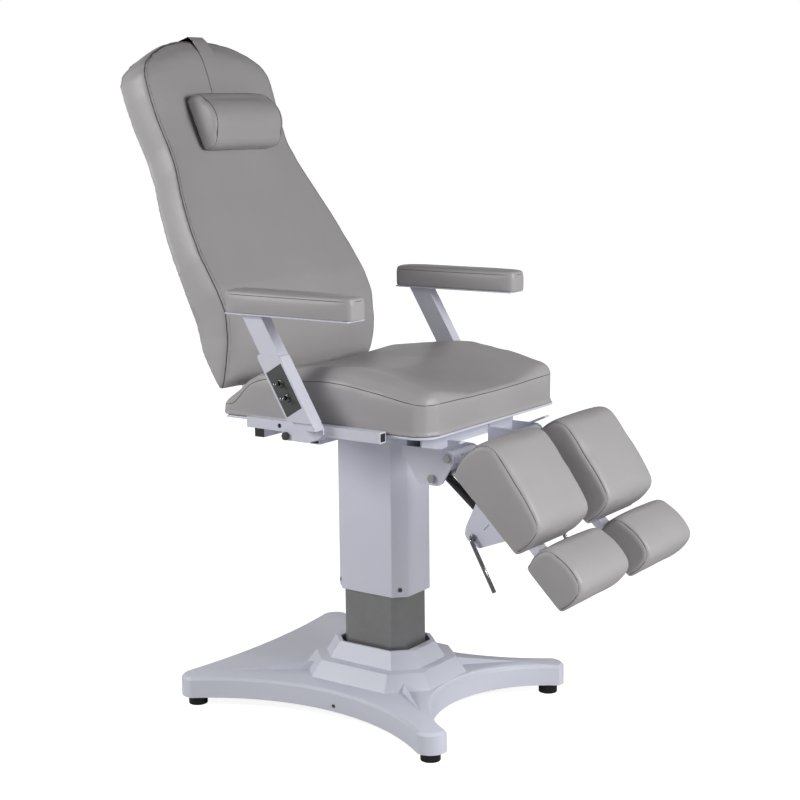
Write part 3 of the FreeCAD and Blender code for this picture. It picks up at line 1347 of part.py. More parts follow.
def gusset_outline():
    depth = d.gusset_depth
    return [(d.gusset_top_start, -d.leg_tube_bottom + depth * 0.1),
            (d.gusset_lever_start - depth * 0.19, -depth * 0.34),
            (d.gusset_lever_start, -depth * 0.87), (d.gusset_lever_start + depth * 0.09, -depth * 1.01),
            (d.gusset_lever_start + depth * 0.21, -depth * 1.06),
            (d.gusset_end - depth * 0.45, -depth * 0.96), (d.gusset_end, -d.leg_tube_bottom + depth * 0.1)]


def build_leg_frame(name, side):
    reach = (d.bracket_outer - d.bracket_inner) / 2 - d.bracket_thick - d.bracket_clearance
    sleeve = rod("y", (0, 0), -reach, reach, d.leg_sleeve_radius)
    half = d.leg_tube_width / 2
    low = -d.leg_tube_bottom
    tube = block((d.leg_sleeve_radius / 2, -half, low), (d.leg_tube_length, half, low + d.leg_tube_height))
    wall = d.leg_tube_wall
    bore = block((d.leg_sleeve_radius * 1.3, wall - half, low + wall),
                 (d.leg_tube_length + wall, half - wall, low + d.leg_tube_height - wall))
    top = low + d.leg_tube_height
    lift = d.leg_pad_lift - d.leg_plate_thick
    edge = d.pad_round
    shift = d.leg_pad_offset * side
    reach_y = d.leg_pad_half_width - edge
    calf_plate = block((d.calf_start + edge, shift - reach_y, lift),
                       (d.calf_start + d.calf_length - edge, shift + reach_y, d.leg_pad_lift))
    bars = []
    for share in leg_bar_shares:
        start = d.calf_start + d.calf_length * share
        bars.append(block((start, shift - reach_y * bar_length_share, top),
                          (start + d.leg_tube_height, shift + reach_y * bar_length_share, lift)))
    gussets = []
    for across in (-1, 1):
        start, wide = span(across, d.gusset_offset, d.gusset_offset + d.gusset_thick)
        slot_low = -d.strut_end_n - d.release_plate_height / 4
        slot_high = -d.strut_end_n + d.release_plate_height / 4
        slot = [(d.strut_end_u, slot_low), (d.strut_end_u + d.release_plate_thick, slot_low),
                (d.strut_end_u + d.release_plate_thick, slot_high), (d.strut_end_u, slot_high)]
        gusset = plate("XZ_Plane", gusset_outline(), start, wide, windows=[slot],
                       holes=[(d.lever_pivot_u, -d.lever_pivot_n + d.lever_collar_radius, d.lever_radius
                               + d.running_gap)])
        soften(gusset, gusset_outline()[1:6], d.gusset_thick * 2, 1)
        gussets.append(gusset)
    pin_bore = rod("y", (0, 0), -reach - wall, reach + wall, d.leg_pin_radius + d.running_gap)
    frame = cut(join(sleeve, tube, calf_plate, *(bars + gussets)), bore, pin_bore)
    node(frame, "leg_frame_" + name)
    carried(frame, d.leg_pivot_x, d.leg_y * side, d.leg_pivot_z, d.leg_slope)
    plate_low = -d.strut_end_n - d.release_plate_height / 2
    plate_high = -d.strut_end_n + d.release_plate_height / 2
    fork = block((d.strut_end_u, -d.gusset_offset, plate_low),
                 (d.strut_end_u + d.release_plate_thick, d.gusset_offset, plate_high))
    tabs = block((d.strut_end_u, -d.gusset_offset - d.gusset_thick * 0.7, slot_low),
                 (d.strut_end_u + d.release_plate_thick, d.gusset_offset + d.gusset_thick * 0.7, slot_high))
    thick, notch_half = d.release_plate_thick, d.release_notch / 2
    notch = block((d.strut_end_u - thick, -notch_half, plate_low - thick),
                  (d.strut_end_u + thick * 2, notch_half, plate_high - thick))
    release = node(cut(join(fork, tabs), notch), "release_plate_" + name)
    carried(release, d.leg_pivot_x, d.leg_y * side, d.leg_pivot_z, d.leg_slope)


leg_bar_shares = (0.12, 0.72)
bar_length_share = 0.8


# Foot slide: an inner tube with the foot plate on its end

def build_foot_slide(name, side):
    half = d.leg_tube_width / 2 - d.leg_tube_wall - d.slide_gap
    low = -d.leg_tube_bottom + d.leg_tube_wall + d.slide_gap
    high = -d.leg_tube_bottom + d.leg_tube_height - d.leg_tube_wall - d.slide_gap
    tube = block((d.slide_inner_end, -half, low), (d.foot_tube_reach, half, high))
    edge = d.pad_round
    shift = d.leg_pad_offset * side
    reach_y = d.leg_pad_half_width - edge
    first, last = d.foot_start + edge / 2, d.foot_start + d.foot_length - edge
    foot_plate = block((first, shift - reach_y, d.foot_pad_lift - d.leg_plate_thick),
                       (last, shift + reach_y, d.foot_pad_lift))
    spacer = block((first + edge, -half, high), (last, half, d.foot_pad_lift - d.leg_plate_thick))
    slide = node(join(tube, spacer, foot_plate), "foot_slide_" + name)
    carried(slide, d.leg_pivot_x, d.leg_y * side, d.leg_pivot_z, d.leg_slope)


# Calf and foot pads: crowned, with drawn-in sides and rounded ends

# across the pad: share of half width, share of side draw, share of crown
pad_across_shares = ((1.0, 1.0, -1.2), (0.97, 0.35, -0.25), (0.9, 0.0, 0.25), (0.72, 0.0, 0.62),
                     (0.4, 0.0, 0.9), (0.0, 0.0, 1.0))


def pad_section(y, draw, crown, start, length, thick_top, thick_end, base):
    """A section along the leg: flat back, bowed ends, rounded shoulders and a bowed top."""
    round_top = float(d.pad_round) * (thick_top / float(d.foot_thick))
    round_end = float(d.pad_round)
    first, last = start + draw, start + length - draw
    low = base
    top_first, top_last = base + thick_top + crown, base + thick_end + crown
    a = Vector(first + round_end * 0.45, y, low)
    b = Vector(last - round_end * 0.25, y, low)
    end_low = Vector(last, y, low + thick_end * 0.45)
    c = Vector(last - round_end * 0.18, y, top_last - round_end)
    end_bend = Vector(last - round_end * 0.5, y, top_last - round_end * 0.42)
    e = Vector(last - round_end * 1.1, y, top_last)
    g = Vector(first + round_top * 1.5, y, top_first)
    middle = (e + g) * 0.5 + Vector(0, 0, float(d.pad_crown) * 0.8)
    start_bend = Vector(first + round_top * 0.5, y, top_first - round_top * 0.42)
    h = Vector(first + round_top * 0.1, y, top_first - round_top * 1.2)
    start_low = Vector(first, y, low + (thick_top - round_top) * 0.4)
    edges = [Part.LineSegment(a, b).toShape(), Part.Arc(b, end_low, c).toShape(),
             Part.Arc(c, end_bend, e).toShape(), Part.Arc(e, middle, g).toShape(),
             Part.Arc(g, start_bend, h).toShape(), Part.Arc(h, start_low, a).toShape()]
    return Part.Wire(edges)


foot_taper_share = 1.03


def leg_pad(side, start, length, thick_top, thick_end, base):
    half, shift = float(d.leg_pad_half_width), float(d.leg_pad_offset) * side
    wires = []
    rows = [(-s, a, b) for s, a, b in pad_across_shares] + [row for row in reversed(pad_across_shares[:-1])]
    for share, draw, crown in rows:
        wires.append(pad_section(half * share + shift, float(d.pad_side_draw) * draw,
                                 float(d.pad_crown) * crown, start, length, thick_top, thick_end, base))
    return Part.makeLoft(wires, True, True)


def build_leg_pads(name, side):
    place = Placement(Vector(float(d.leg_pivot_x), float(d.leg_y) * side, float(d.leg_pivot_z)),
                      Rotation(Vector(0, 1, 0), float(d.leg_slope)))
    calf = leg_pad(side, float(d.calf_start), float(d.calf_length), float(d.calf_thick_top),
                   float(d.calf_thick_end), float(d.leg_pad_lift))
    shaped("calf_pad_" + name, calf, place)
    foot = leg_pad(side, float(d.foot_start), float(d.foot_length), float(d.foot_thick),
                   float(d.foot_thick) * foot_taper_share, float(d.foot_pad_lift))
    shaped("foot_pad_" + name, foot, place)


# Leg strut: a gas spring whose rod ends in a nut behind the release plate

def strut_line():
    """Slope and length from the bracket bolt to the rod's end, with the leg at rest."""
    slope = math.radians(float(d.leg_slope))
    u, n = float(d.strut_end_u), -float(d.strut_end_n)
    x = float(d.leg_pivot_x) + u * math.cos(slope) + n * math.sin(slope)
    z = float(d.leg_pivot_z) - u * math.sin(slope) + n * math.cos(slope)
    run, drop = x - float(d.strut_pivot_x), float(d.strut_pivot_z) - z
    return math.degrees(math.atan2(drop, run)), math.hypot(run, drop)


def build_strut(name, side):
    slope, length = strut_line()
    half = d.strut_eye_width / 2
    eye = rod("y", (0, 0), -half, half, d.strut_eye_radius)
    barrel = rod("x", (0, 0), d.strut_radius / 2, d.strut_body_length, d.strut_radius)
    hole = rod("y", (0, 0), -half * 2, half * 2, d.strut_pin_radius + d.running_gap)
    bore = rod("x", (0, 0), d.strut_eye_radius * 1.3, d.strut_body_length + d.strut_radius,
               d.strut_rod_radius + d.running_gap)
    cylinder = node(cut(join(eye, barrel), hole, bore), "strut_cylinder_" + name)
    bolt_x, bolt_z = float(d.strut_pivot_x), float(d.strut_pivot_z)
    place = Placement(Vector(bolt_x, float(d.leg_y) * side, bolt_z), Rotation(Vector(0, 1, 0), slope))
    cylinder.Placement = place
    end = d.nut_stand_off + d.nut_height + d.release_plate_thick
    stem = doc.addObject("Part::Cylinder", "stem")
    stem.Placement = Placement(Vector(), TURNS["x"])
    bind(stem, "Radius", d.strut_rod_radius)
    stem_start = d.strut_body_length - d.strut_body_length * stem_inside_share
    bind(stem, "Placement.Base.x", stem_start)
    stem.Height = length + float(end) - float(stem_start)
    nut = doc.addObject("Part::Prism", "nut")
    nut.Polygon = 6
    nut_start = length + float(d.nut_stand_off + d.release_plate_thick)
    nut.Placement = Placement(Vector(nut_start, 0, 0), TURNS["x"])
    bind(nut, "Circumradius", d.nut_radius)
    bind(nut, "Height", d.nut_height)
    piston = node(join(stem, nut), "strut_rod_" + name)
    piston.Placement = place


stem_inside_share = 0.6


# Release lever: a bent rod through the gussets

def build_lever(name, side):
    u, n = float(d.lever_pivot_u), -float(d.lever_pivot_n) + float(d.lever_collar_radius)
    radius = float(d.lever_radius)
    inner, outer = -float(d.gusset_offset) - float(d.gusset_thick) * 1.5, float(d.lever_outer)
    bend = radius * 2
    start = Vector(u, -inner * side, n)
    corner = Vector(u, outer * side, n)
    tip = Vector(u + float(d.lever_reach), outer * side, n - float(d.lever_drop))
    way = tip - corner
    way.normalize()
    across = Vector(0, side, 0)
    before = corner - across * bend
    after = corner + way * bend
    middle = corner - across * bend + way * bend
    mid_arc = middle + (corner - middle) * math.sqrt(0.5)
    path = Part.Wire([Part.LineSegment(start, before).toShape(), Part.Arc(before, mid_arc, after).toShape(),
                      Part.LineSegment(after, tip).toShape()])
    circle = Part.Wire([Part.makeCircle(radius, start, across)])
    bar = path.makePipeShell([circle], True, False)
    collar_y = float(d.gusset_offset + d.gusset_thick + d.guide_gap) * side
    collar = Part.makeCylinder(float(d.lever_collar_radius), radius, Vector(u, collar_y, n), across)
    place = Placement(Vector(float(d.leg_pivot_x), float(d.leg_y) * side, float(d.leg_pivot_z)),
                      Rotation(Vector(0, 1, 0), float(d.leg_slope)))
    shaped("release_lever_" + name, bar.fuse(collar).removeSplitter(), place)


for leg_name, leg_side in SIDES:
    build_leg_frame(leg_name, leg_side)
    build_foot_slide(leg_name, leg_side)
    build_leg_pads(leg_name, leg_side)
    build_strut(leg_name, leg_side)
    build_lever(leg_name, leg_side)


# Back drive: an electric cylinder under the seat that pushes the back frame's lever

def build_back_drive():
    run = float(d.back_drive_x) + float(d.back_lever_x)
    rise = float(d.back_lever_z) - float(d.back_drive_z)
    length = math.hypot(run, rise)
    tilt = math.degrees(math.atan2(rise, run))
    half = d.drive_eye_width / 2
    eye = rod("y", (0, 0), -half, half, d.drive_eye_radius)
    barrel = rod("x", (0, 0), d.drive_radius / 2, d.drive_body_length, d.drive_radius)
    hole = rod("y", (0, 0), -half * 2, half * 2, d.drive_pin_radius + d.running_gap)
    bore = rod("x", (0, 0), d.drive_radius * 2, d.drive_body_length + d.drive_radius,
               d.drive_rod_radius + d.running_gap)
    body = node(cut(join(eye, barrel), hole, bore), "back_drive_body")
    y = float(d.back_drive_y)
    place = Placement(Vector(float(d.back_drive_x), y, float(d.back_drive_z)),
                      Rotation(Vector(0, 1, 0), tilt).multiply(Rotation(Vector(0, 0, 1), 180)))
    body.Placement = place
    stem = doc.addObject("Part::Cylinder", "stem")
    stem.Placement = Placement(Vector(), TURNS["x"])
    bind(stem, "Radius", d.drive_rod_radius)
    start = d.drive_body_length * drive_inside_share
    bind(stem, "Placement.Base.x", start)
    stem.Height = length - float(start)
    end_eye = doc.addObject("Part::Cylinder", "end")
    end_eye.Placement = Placement(Vector(length, float(half), 0), Rotation(Vector(1, 0, 0), 90))
    bind(end_eye, "Radius", d.drive_eye_radius * 0.8)
    bind(end_eye, "Height", d.drive_eye_width)
    pin = doc.addObject("Part::Cylinder", "pin")
    pin.Placement = Placement(Vector(length, 0, 0), Rotation(Vector(1, 0, 0), -90))
    bind(pin, "Radius", d.drive_pin_radius)
    bind(pin, "Height", d.back_drive_y - d.back_arm_inner + d.bracket_thick / 2)
    piston = node(join(stem, end_eye, pin), "back_drive_rod")
    piston.Placement = place


drive_inside_share = 0.55
build_back_drive()


# Check every object and write the sub-parts

doc.recompute()
failed = [thing.Label for thing in doc.Objects if "Invalid" in thing.State or "Error" in thing.State]
if failed:
    raise RuntimeError("features failed: " + ", ".join(failed))
os.makedirs("parts", exist_ok=True)
spoiled = [thing.Label for thing in NODES if thing.Shape.isNull() or not thing.Shape.isValid()]
for thing in NODES:
    print("%-28s solids %d volume %.0f" % (thing.Label, len(thing.Shape.Solids), thing.Shape.Volume))
if spoiled:
    raise RuntimeError("bad shapes: " + ", ".join(spoiled))
for thing in NODES:
    thing.Shape.exportStep("parts/%s.step" % thing.Label)
print(len(NODES), "nodes")
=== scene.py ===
import json
import math

import bmesh
import bpy
import numpy as np
from mathutils import Matrix, Vector
from mathutils.bvhtree import BVHTree

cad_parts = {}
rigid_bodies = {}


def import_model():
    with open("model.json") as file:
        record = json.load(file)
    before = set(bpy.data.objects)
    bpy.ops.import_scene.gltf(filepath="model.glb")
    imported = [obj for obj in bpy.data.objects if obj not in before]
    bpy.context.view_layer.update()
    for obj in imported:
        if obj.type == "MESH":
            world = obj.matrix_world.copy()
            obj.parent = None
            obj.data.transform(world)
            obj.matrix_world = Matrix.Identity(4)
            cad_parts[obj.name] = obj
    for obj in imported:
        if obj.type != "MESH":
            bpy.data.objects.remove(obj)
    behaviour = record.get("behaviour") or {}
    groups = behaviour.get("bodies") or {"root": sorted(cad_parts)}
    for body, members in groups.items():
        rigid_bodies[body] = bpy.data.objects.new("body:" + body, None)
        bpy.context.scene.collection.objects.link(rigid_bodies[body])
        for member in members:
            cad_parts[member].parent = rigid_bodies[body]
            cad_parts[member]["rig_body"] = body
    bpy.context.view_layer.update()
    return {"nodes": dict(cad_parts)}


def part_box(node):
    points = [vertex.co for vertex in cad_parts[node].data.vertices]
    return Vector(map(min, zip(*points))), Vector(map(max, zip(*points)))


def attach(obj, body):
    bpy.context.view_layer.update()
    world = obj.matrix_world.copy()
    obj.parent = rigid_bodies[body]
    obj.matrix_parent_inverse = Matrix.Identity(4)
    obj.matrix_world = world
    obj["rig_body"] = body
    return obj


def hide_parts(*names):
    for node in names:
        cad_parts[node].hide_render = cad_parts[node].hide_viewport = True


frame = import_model()


def placed(name, data):
    """A new object of the scene with this data."""
    thing = bpy.data.objects.new(name, data)
    bpy.context.scene.collection.objects.link(thing)
    return thing


def shader_tree(owner):
    """The nodes and the links of a material or a world."""
    owner.use_nodes = True
    return owner.node_tree.nodes, owner.node_tree.links


def add_sockets(tree, way, kind, names):
    """Give a node group its sockets of one kind, each with its default value or None."""
    for name, value in names.items():
        socket = tree.interface.new_socket(name, in_out=way, socket_type="NodeSocket" + kind)
        if value is not None:
            socket.default_value = value


# Viewpoint: a long lens in front of the chair's right side, a little above the arm rests,
# turned by the photograph's slight roll.
view_az, view_el, view_roll = math.radians(35.05), math.radians(10.01), math.radians(-0.58)
toward = Vector((math.sin(view_az) * math.cos(view_el), -math.cos(view_az) * math.cos(view_el),
                 math.sin(view_el)))
level = (-toward).cross(Vector((0, 0, 1))).normalized()
upright = level.cross(-toward)
across = level * math.cos(view_roll) + upright * math.sin(view_roll)
above = upright * math.cos(view_roll) - level * math.sin(view_roll)
camera = placed("camera", bpy.data.cameras.new("camera"))
camera.data.sensor_width = 36
camera.data.lens = 73.17
camera.data.clip_end = 60
camera_turn = Matrix((across, above, toward)).transposed().to_4x4()
camera.matrix_world = Matrix.Translation((2.12898, -2.96573, 1.35623)) @ camera_turn
bpy.context.scene.camera = camera


# Studio: a plain pale floor that runs out of sight into a white surround, under a dark ceiling board
# that keeps the tops quiet. The main lamp stands low before the foot rests, a second one to the left
# behind the arm rest, and a weak one behind the back.
bpy.context.scene.view_settings.view_transform = "Standard"
surround = bpy.data.worlds.new("surround")
bpy.context.scene.world = surround
sky, sky_links = shader_tree(surround)
sky["Background"].inputs["Color"].default_value = (1, 1, 1, 1)


def seen_level(nodes, links, low, high, target):
    """Give a socket one value where the camera sees the surface and another for all other rays."""
    ray, level = nodes.new("ShaderNodeLightPath"), nodes.new("ShaderNodeMapRange")
    level.inputs["To Min"].default_value, level.inputs["To Max"].default_value = low, high
    links.new(ray.outputs["Is Camera Ray"], level.inputs["Value"])
    links.new(level.outputs["Result"], target)


def studio_board(name, half, height, face, colour, rough):
    """A square level board of the studio. Returns its shader, nodes and links."""
    mesh = bpy.data.meshes.new(name)
    corners = [(-half, -half, height), (half, -half, height), (half, half, height), (-half, half, height)]
    mesh.from_pydata(corners, [], [face])
    board = placed(name, mesh)
    material = bpy.data.materials.new(name)
    nodes, links = shader_tree(material)
    paint = nodes["Principled BSDF"]
    paint.inputs["Base Color"].default_value = (*[colour] * 3, 1)
    paint.inputs["Roughness"].default_value = rough
    mesh.materials.append(material)
    return paint, nodes, links


seen_level(sky, sky_links, 0.34, 1.0, sky["Background"].inputs["Strength"])
paint, floor_nodes, floor_links = studio_board("studio_floor", 20, 0, (0, 1, 2, 3), 0.55, 0.8)
paint.inputs["Specular IOR Level"].default_value = 0.1
paint.inputs["Emission Color"].default_value = (1, 1, 1, 1)
seen_level(floor_nodes, floor_links, 0, 0.9, paint.inputs["Emission Strength"])
studio_board("studio_ceiling", 2.6, 2.7, (3, 2, 1, 0), 0.05, 0.9)


def hang_lamp(name, place, aim, size, power):
    """A square studio lamp at a place, turned to the point that it lights."""
    lamp = placed(name, bpy.data.lights.new(name, "AREA"))
    lamp.data.shape = "RECTANGLE"
    lamp.data.size, lamp.data.size_y = size
    lamp.data.energy = power
    lamp.location = place
    lamp.rotation_euler = (Vector(aim) - Vector(place)).to_track_quat("-Z", "Y").to_euler()


hang_lamp("lamp_right", (3.0, -0.2, 1.75), (0.1, 0, 0.5), (1.2, 1.0), 66)
hang_lamp("lamp_left", (-2.0, -2.4, 1.9), (-0.1, 0, 0.7), (1.2, 1.2), 52)
hang_lamp("lamp_back", (-2.6, 2.8, 2.2), (0, 0, 0.8), (2.0, 2.0), 10)


# Rigid finishes: powder coat, moulded plastic, plated and bright steel; both chromes have their colour
# darkened, a painted dark reflection. The skin group gives the fine ripple of a sprayed or moulded surface, a
# soft change of tone and the wear along edges.
def skin_group():
    """The node group of the rigid finishes."""
    group = bpy.data.node_groups.new("painted_skin", "ShaderNodeTree")
    add_sockets(group, "INPUT", "Vector", {"Position": None})
    add_sockets(group, "INPUT", "Float", {"Ripple Scale": 900.0, "Patch Scale": 7.0, "Edge Wear": 0.3})
    add_sockets(group, "OUTPUT", "Float", {"Ripple": None, "Patch": None, "Wear": None})
    nodes, links = group.nodes, group.links
    entry, leave = nodes.new("NodeGroupInput"), nodes.new("NodeGroupOutput")
    ripple, patch, scuff = (nodes.new("ShaderNodeTexNoise") for _ in range(3))
    for texture, scale, detail in ((ripple, "Ripple Scale", 2), (patch, "Patch Scale", 3), (scuff, None, 4)):
        links.new(entry.outputs["Position"], texture.inputs["Vector"])
        texture.inputs["Detail"].default_value = detail
        if scale:
            links.new(entry.outputs[scale], texture.inputs["Scale"])
    scuff.inputs["Scale"].default_value = 55
    edge = nodes.new("ShaderNodeAttribute")
    edge.attribute_name = "worn_edge"
    amount, broken = nodes.new("ShaderNodeMath"), nodes.new("ShaderNodeMath")
    amount.operation = broken.operation = "MULTIPLY"
    links.new(edge.outputs["Fac"], amount.inputs[0])
    links.new(entry.outputs["Edge Wear"], amount.inputs[1])
    links.new(amount.outputs[0], broken.inputs[0])
    links.new(scuff.outputs["Fac"], broken.inputs[1])
    links.new(ripple.outputs["Fac"], leave.inputs["Ripple"])
    links.new(patch.outputs["Fac"], leave.inputs["Patch"])
    links.new(broken.outputs[0], leave.inputs["Wear"])
    return group


painted_skin = skin_group()


def mixed(nodes, links, low, high, factor):
    """A colour between two others, by a mask."""
    mix = nodes.new("ShaderNodeMix")
    mix.data_type = "RGBA"
    mix.inputs["A"].default_value, mix.inputs["B"].default_value = (*low, 1), (*high, 1)
    links.new(factor, mix.inputs["Factor"])
    return mix


def spread_rough(nodes, links, low, high, mask):
    """A roughness between two values, by a mask."""
    spread = nodes.new("ShaderNodeMapRange")
    spread.inputs["To Min"].default_value, spread.inputs["To Max"].default_value = low, high
    links.new(mask, spread.inputs["Value"])
    links.new(spread.outputs["Result"], nodes["Principled BSDF"].inputs["Roughness"])


def finish(name, colour, worn, rough, metallic=0.0, ripple=900.0, depth=0.00003, coat=0.0, wear=0.2,
           tone=0.02):
    """A rigid finish: its colour, the colour that its edges wear to, and its roughness."""
    material = bpy.data.materials.new(name)
    nodes, links = shader_tree(material)
    shader = nodes["Principled BSDF"]
    shader.inputs["Metallic"].default_value = metallic
    shader.inputs["Coat Weight"].default_value = coat
    shader.inputs["Coat Roughness"].default_value = 0.12
    place = nodes.new("ShaderNodeTexCoord")
    skin = nodes.new("ShaderNodeGroup")
    skin.node_tree = painted_skin
    skin.inputs["Ripple Scale"].default_value = ripple
    skin.inputs["Patch Scale"].default_value = 7
    skin.inputs["Edge Wear"].default_value = wear
    links.new(place.outputs["Object"], skin.inputs["Position"])
    darker, lighter = [c * (1 - tone) for c in colour], [min(c * (1 + tone), 1) for c in colour]
    shade = mixed(nodes, links, darker, lighter, skin.outputs["Patch"])
    rubbed = mixed(nodes, links, colour, worn, skin.outputs["Wear"])
    links.new(shade.outputs["Result"], rubbed.inputs["A"])
    links.new(rubbed.outputs["Result"], shader.inputs["Base Color"])
    spread_rough(nodes, links, rough * 0.85, rough * 1.2, skin.outputs["Patch"])
    bump = nodes.new("ShaderNodeBump")
    bump.inputs["Distance"].default_value = depth
    links.new(skin.outputs["Ripple"], bump.inputs["Height"])
    links.new(bump.outputs["Normal"], shader.inputs["Normal"])
    return material


white_coat = finish("white_powder_coat", (0.72, 0.73, 0.83), (0.8, 0.8, 0.84), 0.38)
cover_coat = finish("white_moulded_cover", (0.72, 0.735, 0.83), (0.78, 0.78, 0.83), 0.42,
                    ripple=500, depth=0.00005)
tube_coat = finish("grey_column_coat", (0.27, 0.27, 0.27), (0.5, 0.5, 0.5), 0.36, metallic=0.5)
black_coat = finish("black_steel", (0.012, 0.012, 0.013), (0.1, 0.1, 0.1), 0.5)
gloss_black = finish("gloss_black_cylinder", (0.01, 0.01, 0.011), (0.1, 0.1, 0.1), 0.16, coat=0.4)
foot_black = finish("black_foot_plastic", (0.004, 0.004, 0.004), (0.01, 0.01, 0.01), 0.22, ripple=300)
trim_black = finish("black_trim_plastic", (0.016, 0.016, 0.017), (0.08, 0.08, 0.08), 0.45,
                    ripple=1500, depth=0.00006)
panel_grey = finish("dark_grey_panel", (0.075, 0.078, 0.08), (0.5, 0.5, 0.5), 0.45,
                    ripple=2200, depth=0.00005, wear=0)
# The lever chrome's colour is darkened: a painted dark reflection of its surroundings.
lever_chrome_painted_reflection = finish("darkened_chrome", (0.28, 0.28, 0.285), (0.3, 0.3, 0.3), 0.14,
                     metallic=1.0, ripple=60, depth=0.00001)
dark_screw = finish("blackened_screw", (0.09, 0.09, 0.092), (0.3, 0.3, 0.3), 0.35, metallic=0.8)
zinc = finish("zinc_plated_steel", (0.5, 0.5, 0.51), (0.7, 0.7, 0.7), 0.3, metallic=1.0, tone=0.12)
# The switch chrome's colour is darkened too: a painted dark reflection.
switch_chrome_painted_reflection = finish("chrome_plate", (0.3, 0.3, 0.31), (0.5, 0.5, 0.5), 0.16,
                metallic=1.0, ripple=60, depth=0.00001)
board_cloth = finish("back_board_cover", (0.3, 0.29, 0.29), (0.4, 0.4, 0.4), 0.55, ripple=700, depth=0.0001)


def opened(node):
    """A CAD node's mesh, with the points that its faces share made one."""
    form = bmesh.new()
    form.from_mesh(frame["nodes"][node].data)
    bmesh.ops.remove_doubles(form, verts=form.verts, dist=0.00002)
    return form


worn_turn, crease_turn = 12, 50


def turn_of(edge):
    """The angle between an edge's two faces in degrees, or nothing at an open edge."""
    return math.degrees(edge.calc_face_angle(0)) if len(edge.link_faces) == 2 else 0.0


def eased(node, material, width=0.0012, corner=32, flat=1.2):
    """A dressed copy of a CAD node: its corners get the small round of a pressed, cut or moulded
    edge, and its softer turns are shaded smooth."""
    form = opened(node)
    bmesh.ops.dissolve_limit(form, angle_limit=math.radians(flat), verts=form.verts, edges=form.edges)
    sharp = [e for e in form.edges if turn_of(e) > corner]
    bmesh.ops.bevel(form, geom=sharp, offset=width, segments=2, profile=0.5, affect="EDGES",
                    clamp_overlap=True)
    worn = form.verts.layers.float.new("worn_edge")
    for vert in form.verts:
        vert[worn] = 1.0 if any(turn_of(e) > worn_turn for e in vert.link_edges) else 0.0
    for face in form.faces:
        face.smooth = True
    for edge in form.edges:
        edge.smooth = turn_of(edge) < crease_turn
    mesh = bpy.data.meshes.new(node + "_dressed")
    form.to_mesh(mesh)
    form.free()
    mesh.materials.append(material)
    piece = placed(node + "_dressed", mesh)
    weighted = piece.modifiers.new("even_faces", "WEIGHTED_NORMAL")
    weighted.keep_sharp = True
    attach(piece, frame["nodes"][node]["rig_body"])
    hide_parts(node)
    return piece


# Base: a moulded star cover over four steel legs, with screws in its side walls, four
# levelling feet of black plastic on threaded studs, and a cable gland at the rear.
eased("base_cover", cover_coat, 0.003, 14)
for node, coat in (("base_frame", black_coat), ("base_cover_screws", dark_screw),
                   ("mains_gland", trim_black)):
    eased(node, coat, 0.0006)
for node in sorted(frame["nodes"]):
    if node.startswith("levelling_foot"):
        eased(node, foot_black, 0.0015)


# Column: a white steel sleeve that slides over a grey eight-sided tube, with plastic guides
# between them and an electric lift cylinder inside.
eased("column_sleeve", white_coat, 0.0022)
eased("column_lower_tube", tube_coat, 0.0022)
for node, coat in (("column_flange_bolts", zinc), ("tube_guide_pads", trim_black),
                   ("sleeve_guide_pads", trim_black), ("guide_screws", dark_screw),
                   ("lift_drive_body", trim_black), ("lift_drive_rod", zinc)):
    eased(node, coat, 0.0004)


# Seat frame: welded rails, cross tubes and a front beam of white steel under a painted tray,
# with plugs in the tube ends and the pins and plates that carry the arms and leg rests.
for node in ("column_head_plate", "seat_frame", "seat_plate", "leg_bracket_right", "leg_bracket_left"):
    eased(node, white_coat, 0.0012)
for node, coat in (("leg_bracket_bolts", zinc), ("arm_pivot_bolts", dark_screw), ("back_hinge_pins", zinc)):
    eased(node, coat, 0.0008)
eased("frame_end_plugs", trim_black, 0.0008)


# Back frame and drive: two bent steel arms tied by cross bars, a covered board, and the
# cylinder that pushes the lever of the left arm.
for node in ("back_arm_right", "back_arm_left", "back_cross_bars"):
    eased(node, white_coat, 0.0015)
eased("back_board", board_cloth, 0.003)
eased("back_drive_body", trim_black, 0.001)
eased("back_drive_rod", zinc, 0.001)


# Arm rest frames: slanted flat tubes of white steel on foot plates, with a thin plate under
# the pads. The right one carries the control box.
for node in ("arm_frame_right", "arm_frame_left"):
    eased(node, white_coat, 0.0016)
eased("control_box", white_coat, 0.004)
eased("control_panel", panel_grey, 0.0005)
# The switch bushes and toggles take the darkened chrome, a painted dark reflection.
eased("switch_bodies", switch_chrome_painted_reflection, 0.0006)
for node in ("toggle_upper", "toggle_lower"):
    eased(node, switch_chrome_painted_reflection, 0.0006)


# Leg rest frames: sleeve, tube, plate and gussets of white steel, the slide of the foot rest,
# a gloss black strut with its bright rod, and a chrome release lever on each, its colour darkened as a
# painted dark reflection. A lever is one bent round rod, so its mesh is drawn again at one even step and
# smoothed.
for side in ("right", "left"):
    for node in ("leg_frame_", "foot_slide_", "release_plate_"):
        eased(node + side, white_coat, 0.0012)
    eased("strut_cylinder_" + side, gloss_black, 0.0006)
    eased("strut_rod_" + side, zinc, 0.0004)
    lever = eased("release_lever_" + side, lever_chrome_painted_reflection, 0, 180, flat=0.02)
    even = lever.modifiers.new("even_rod", "REMESH")
    even.mode, even.voxel_size, even.use_smooth_shade = "VOXEL", 0.0007, True
    smoother = lever.modifiers.new("smooth_rod", "SMOOTH")
    smoother.factor, smoother.iterations = 0.5, 3


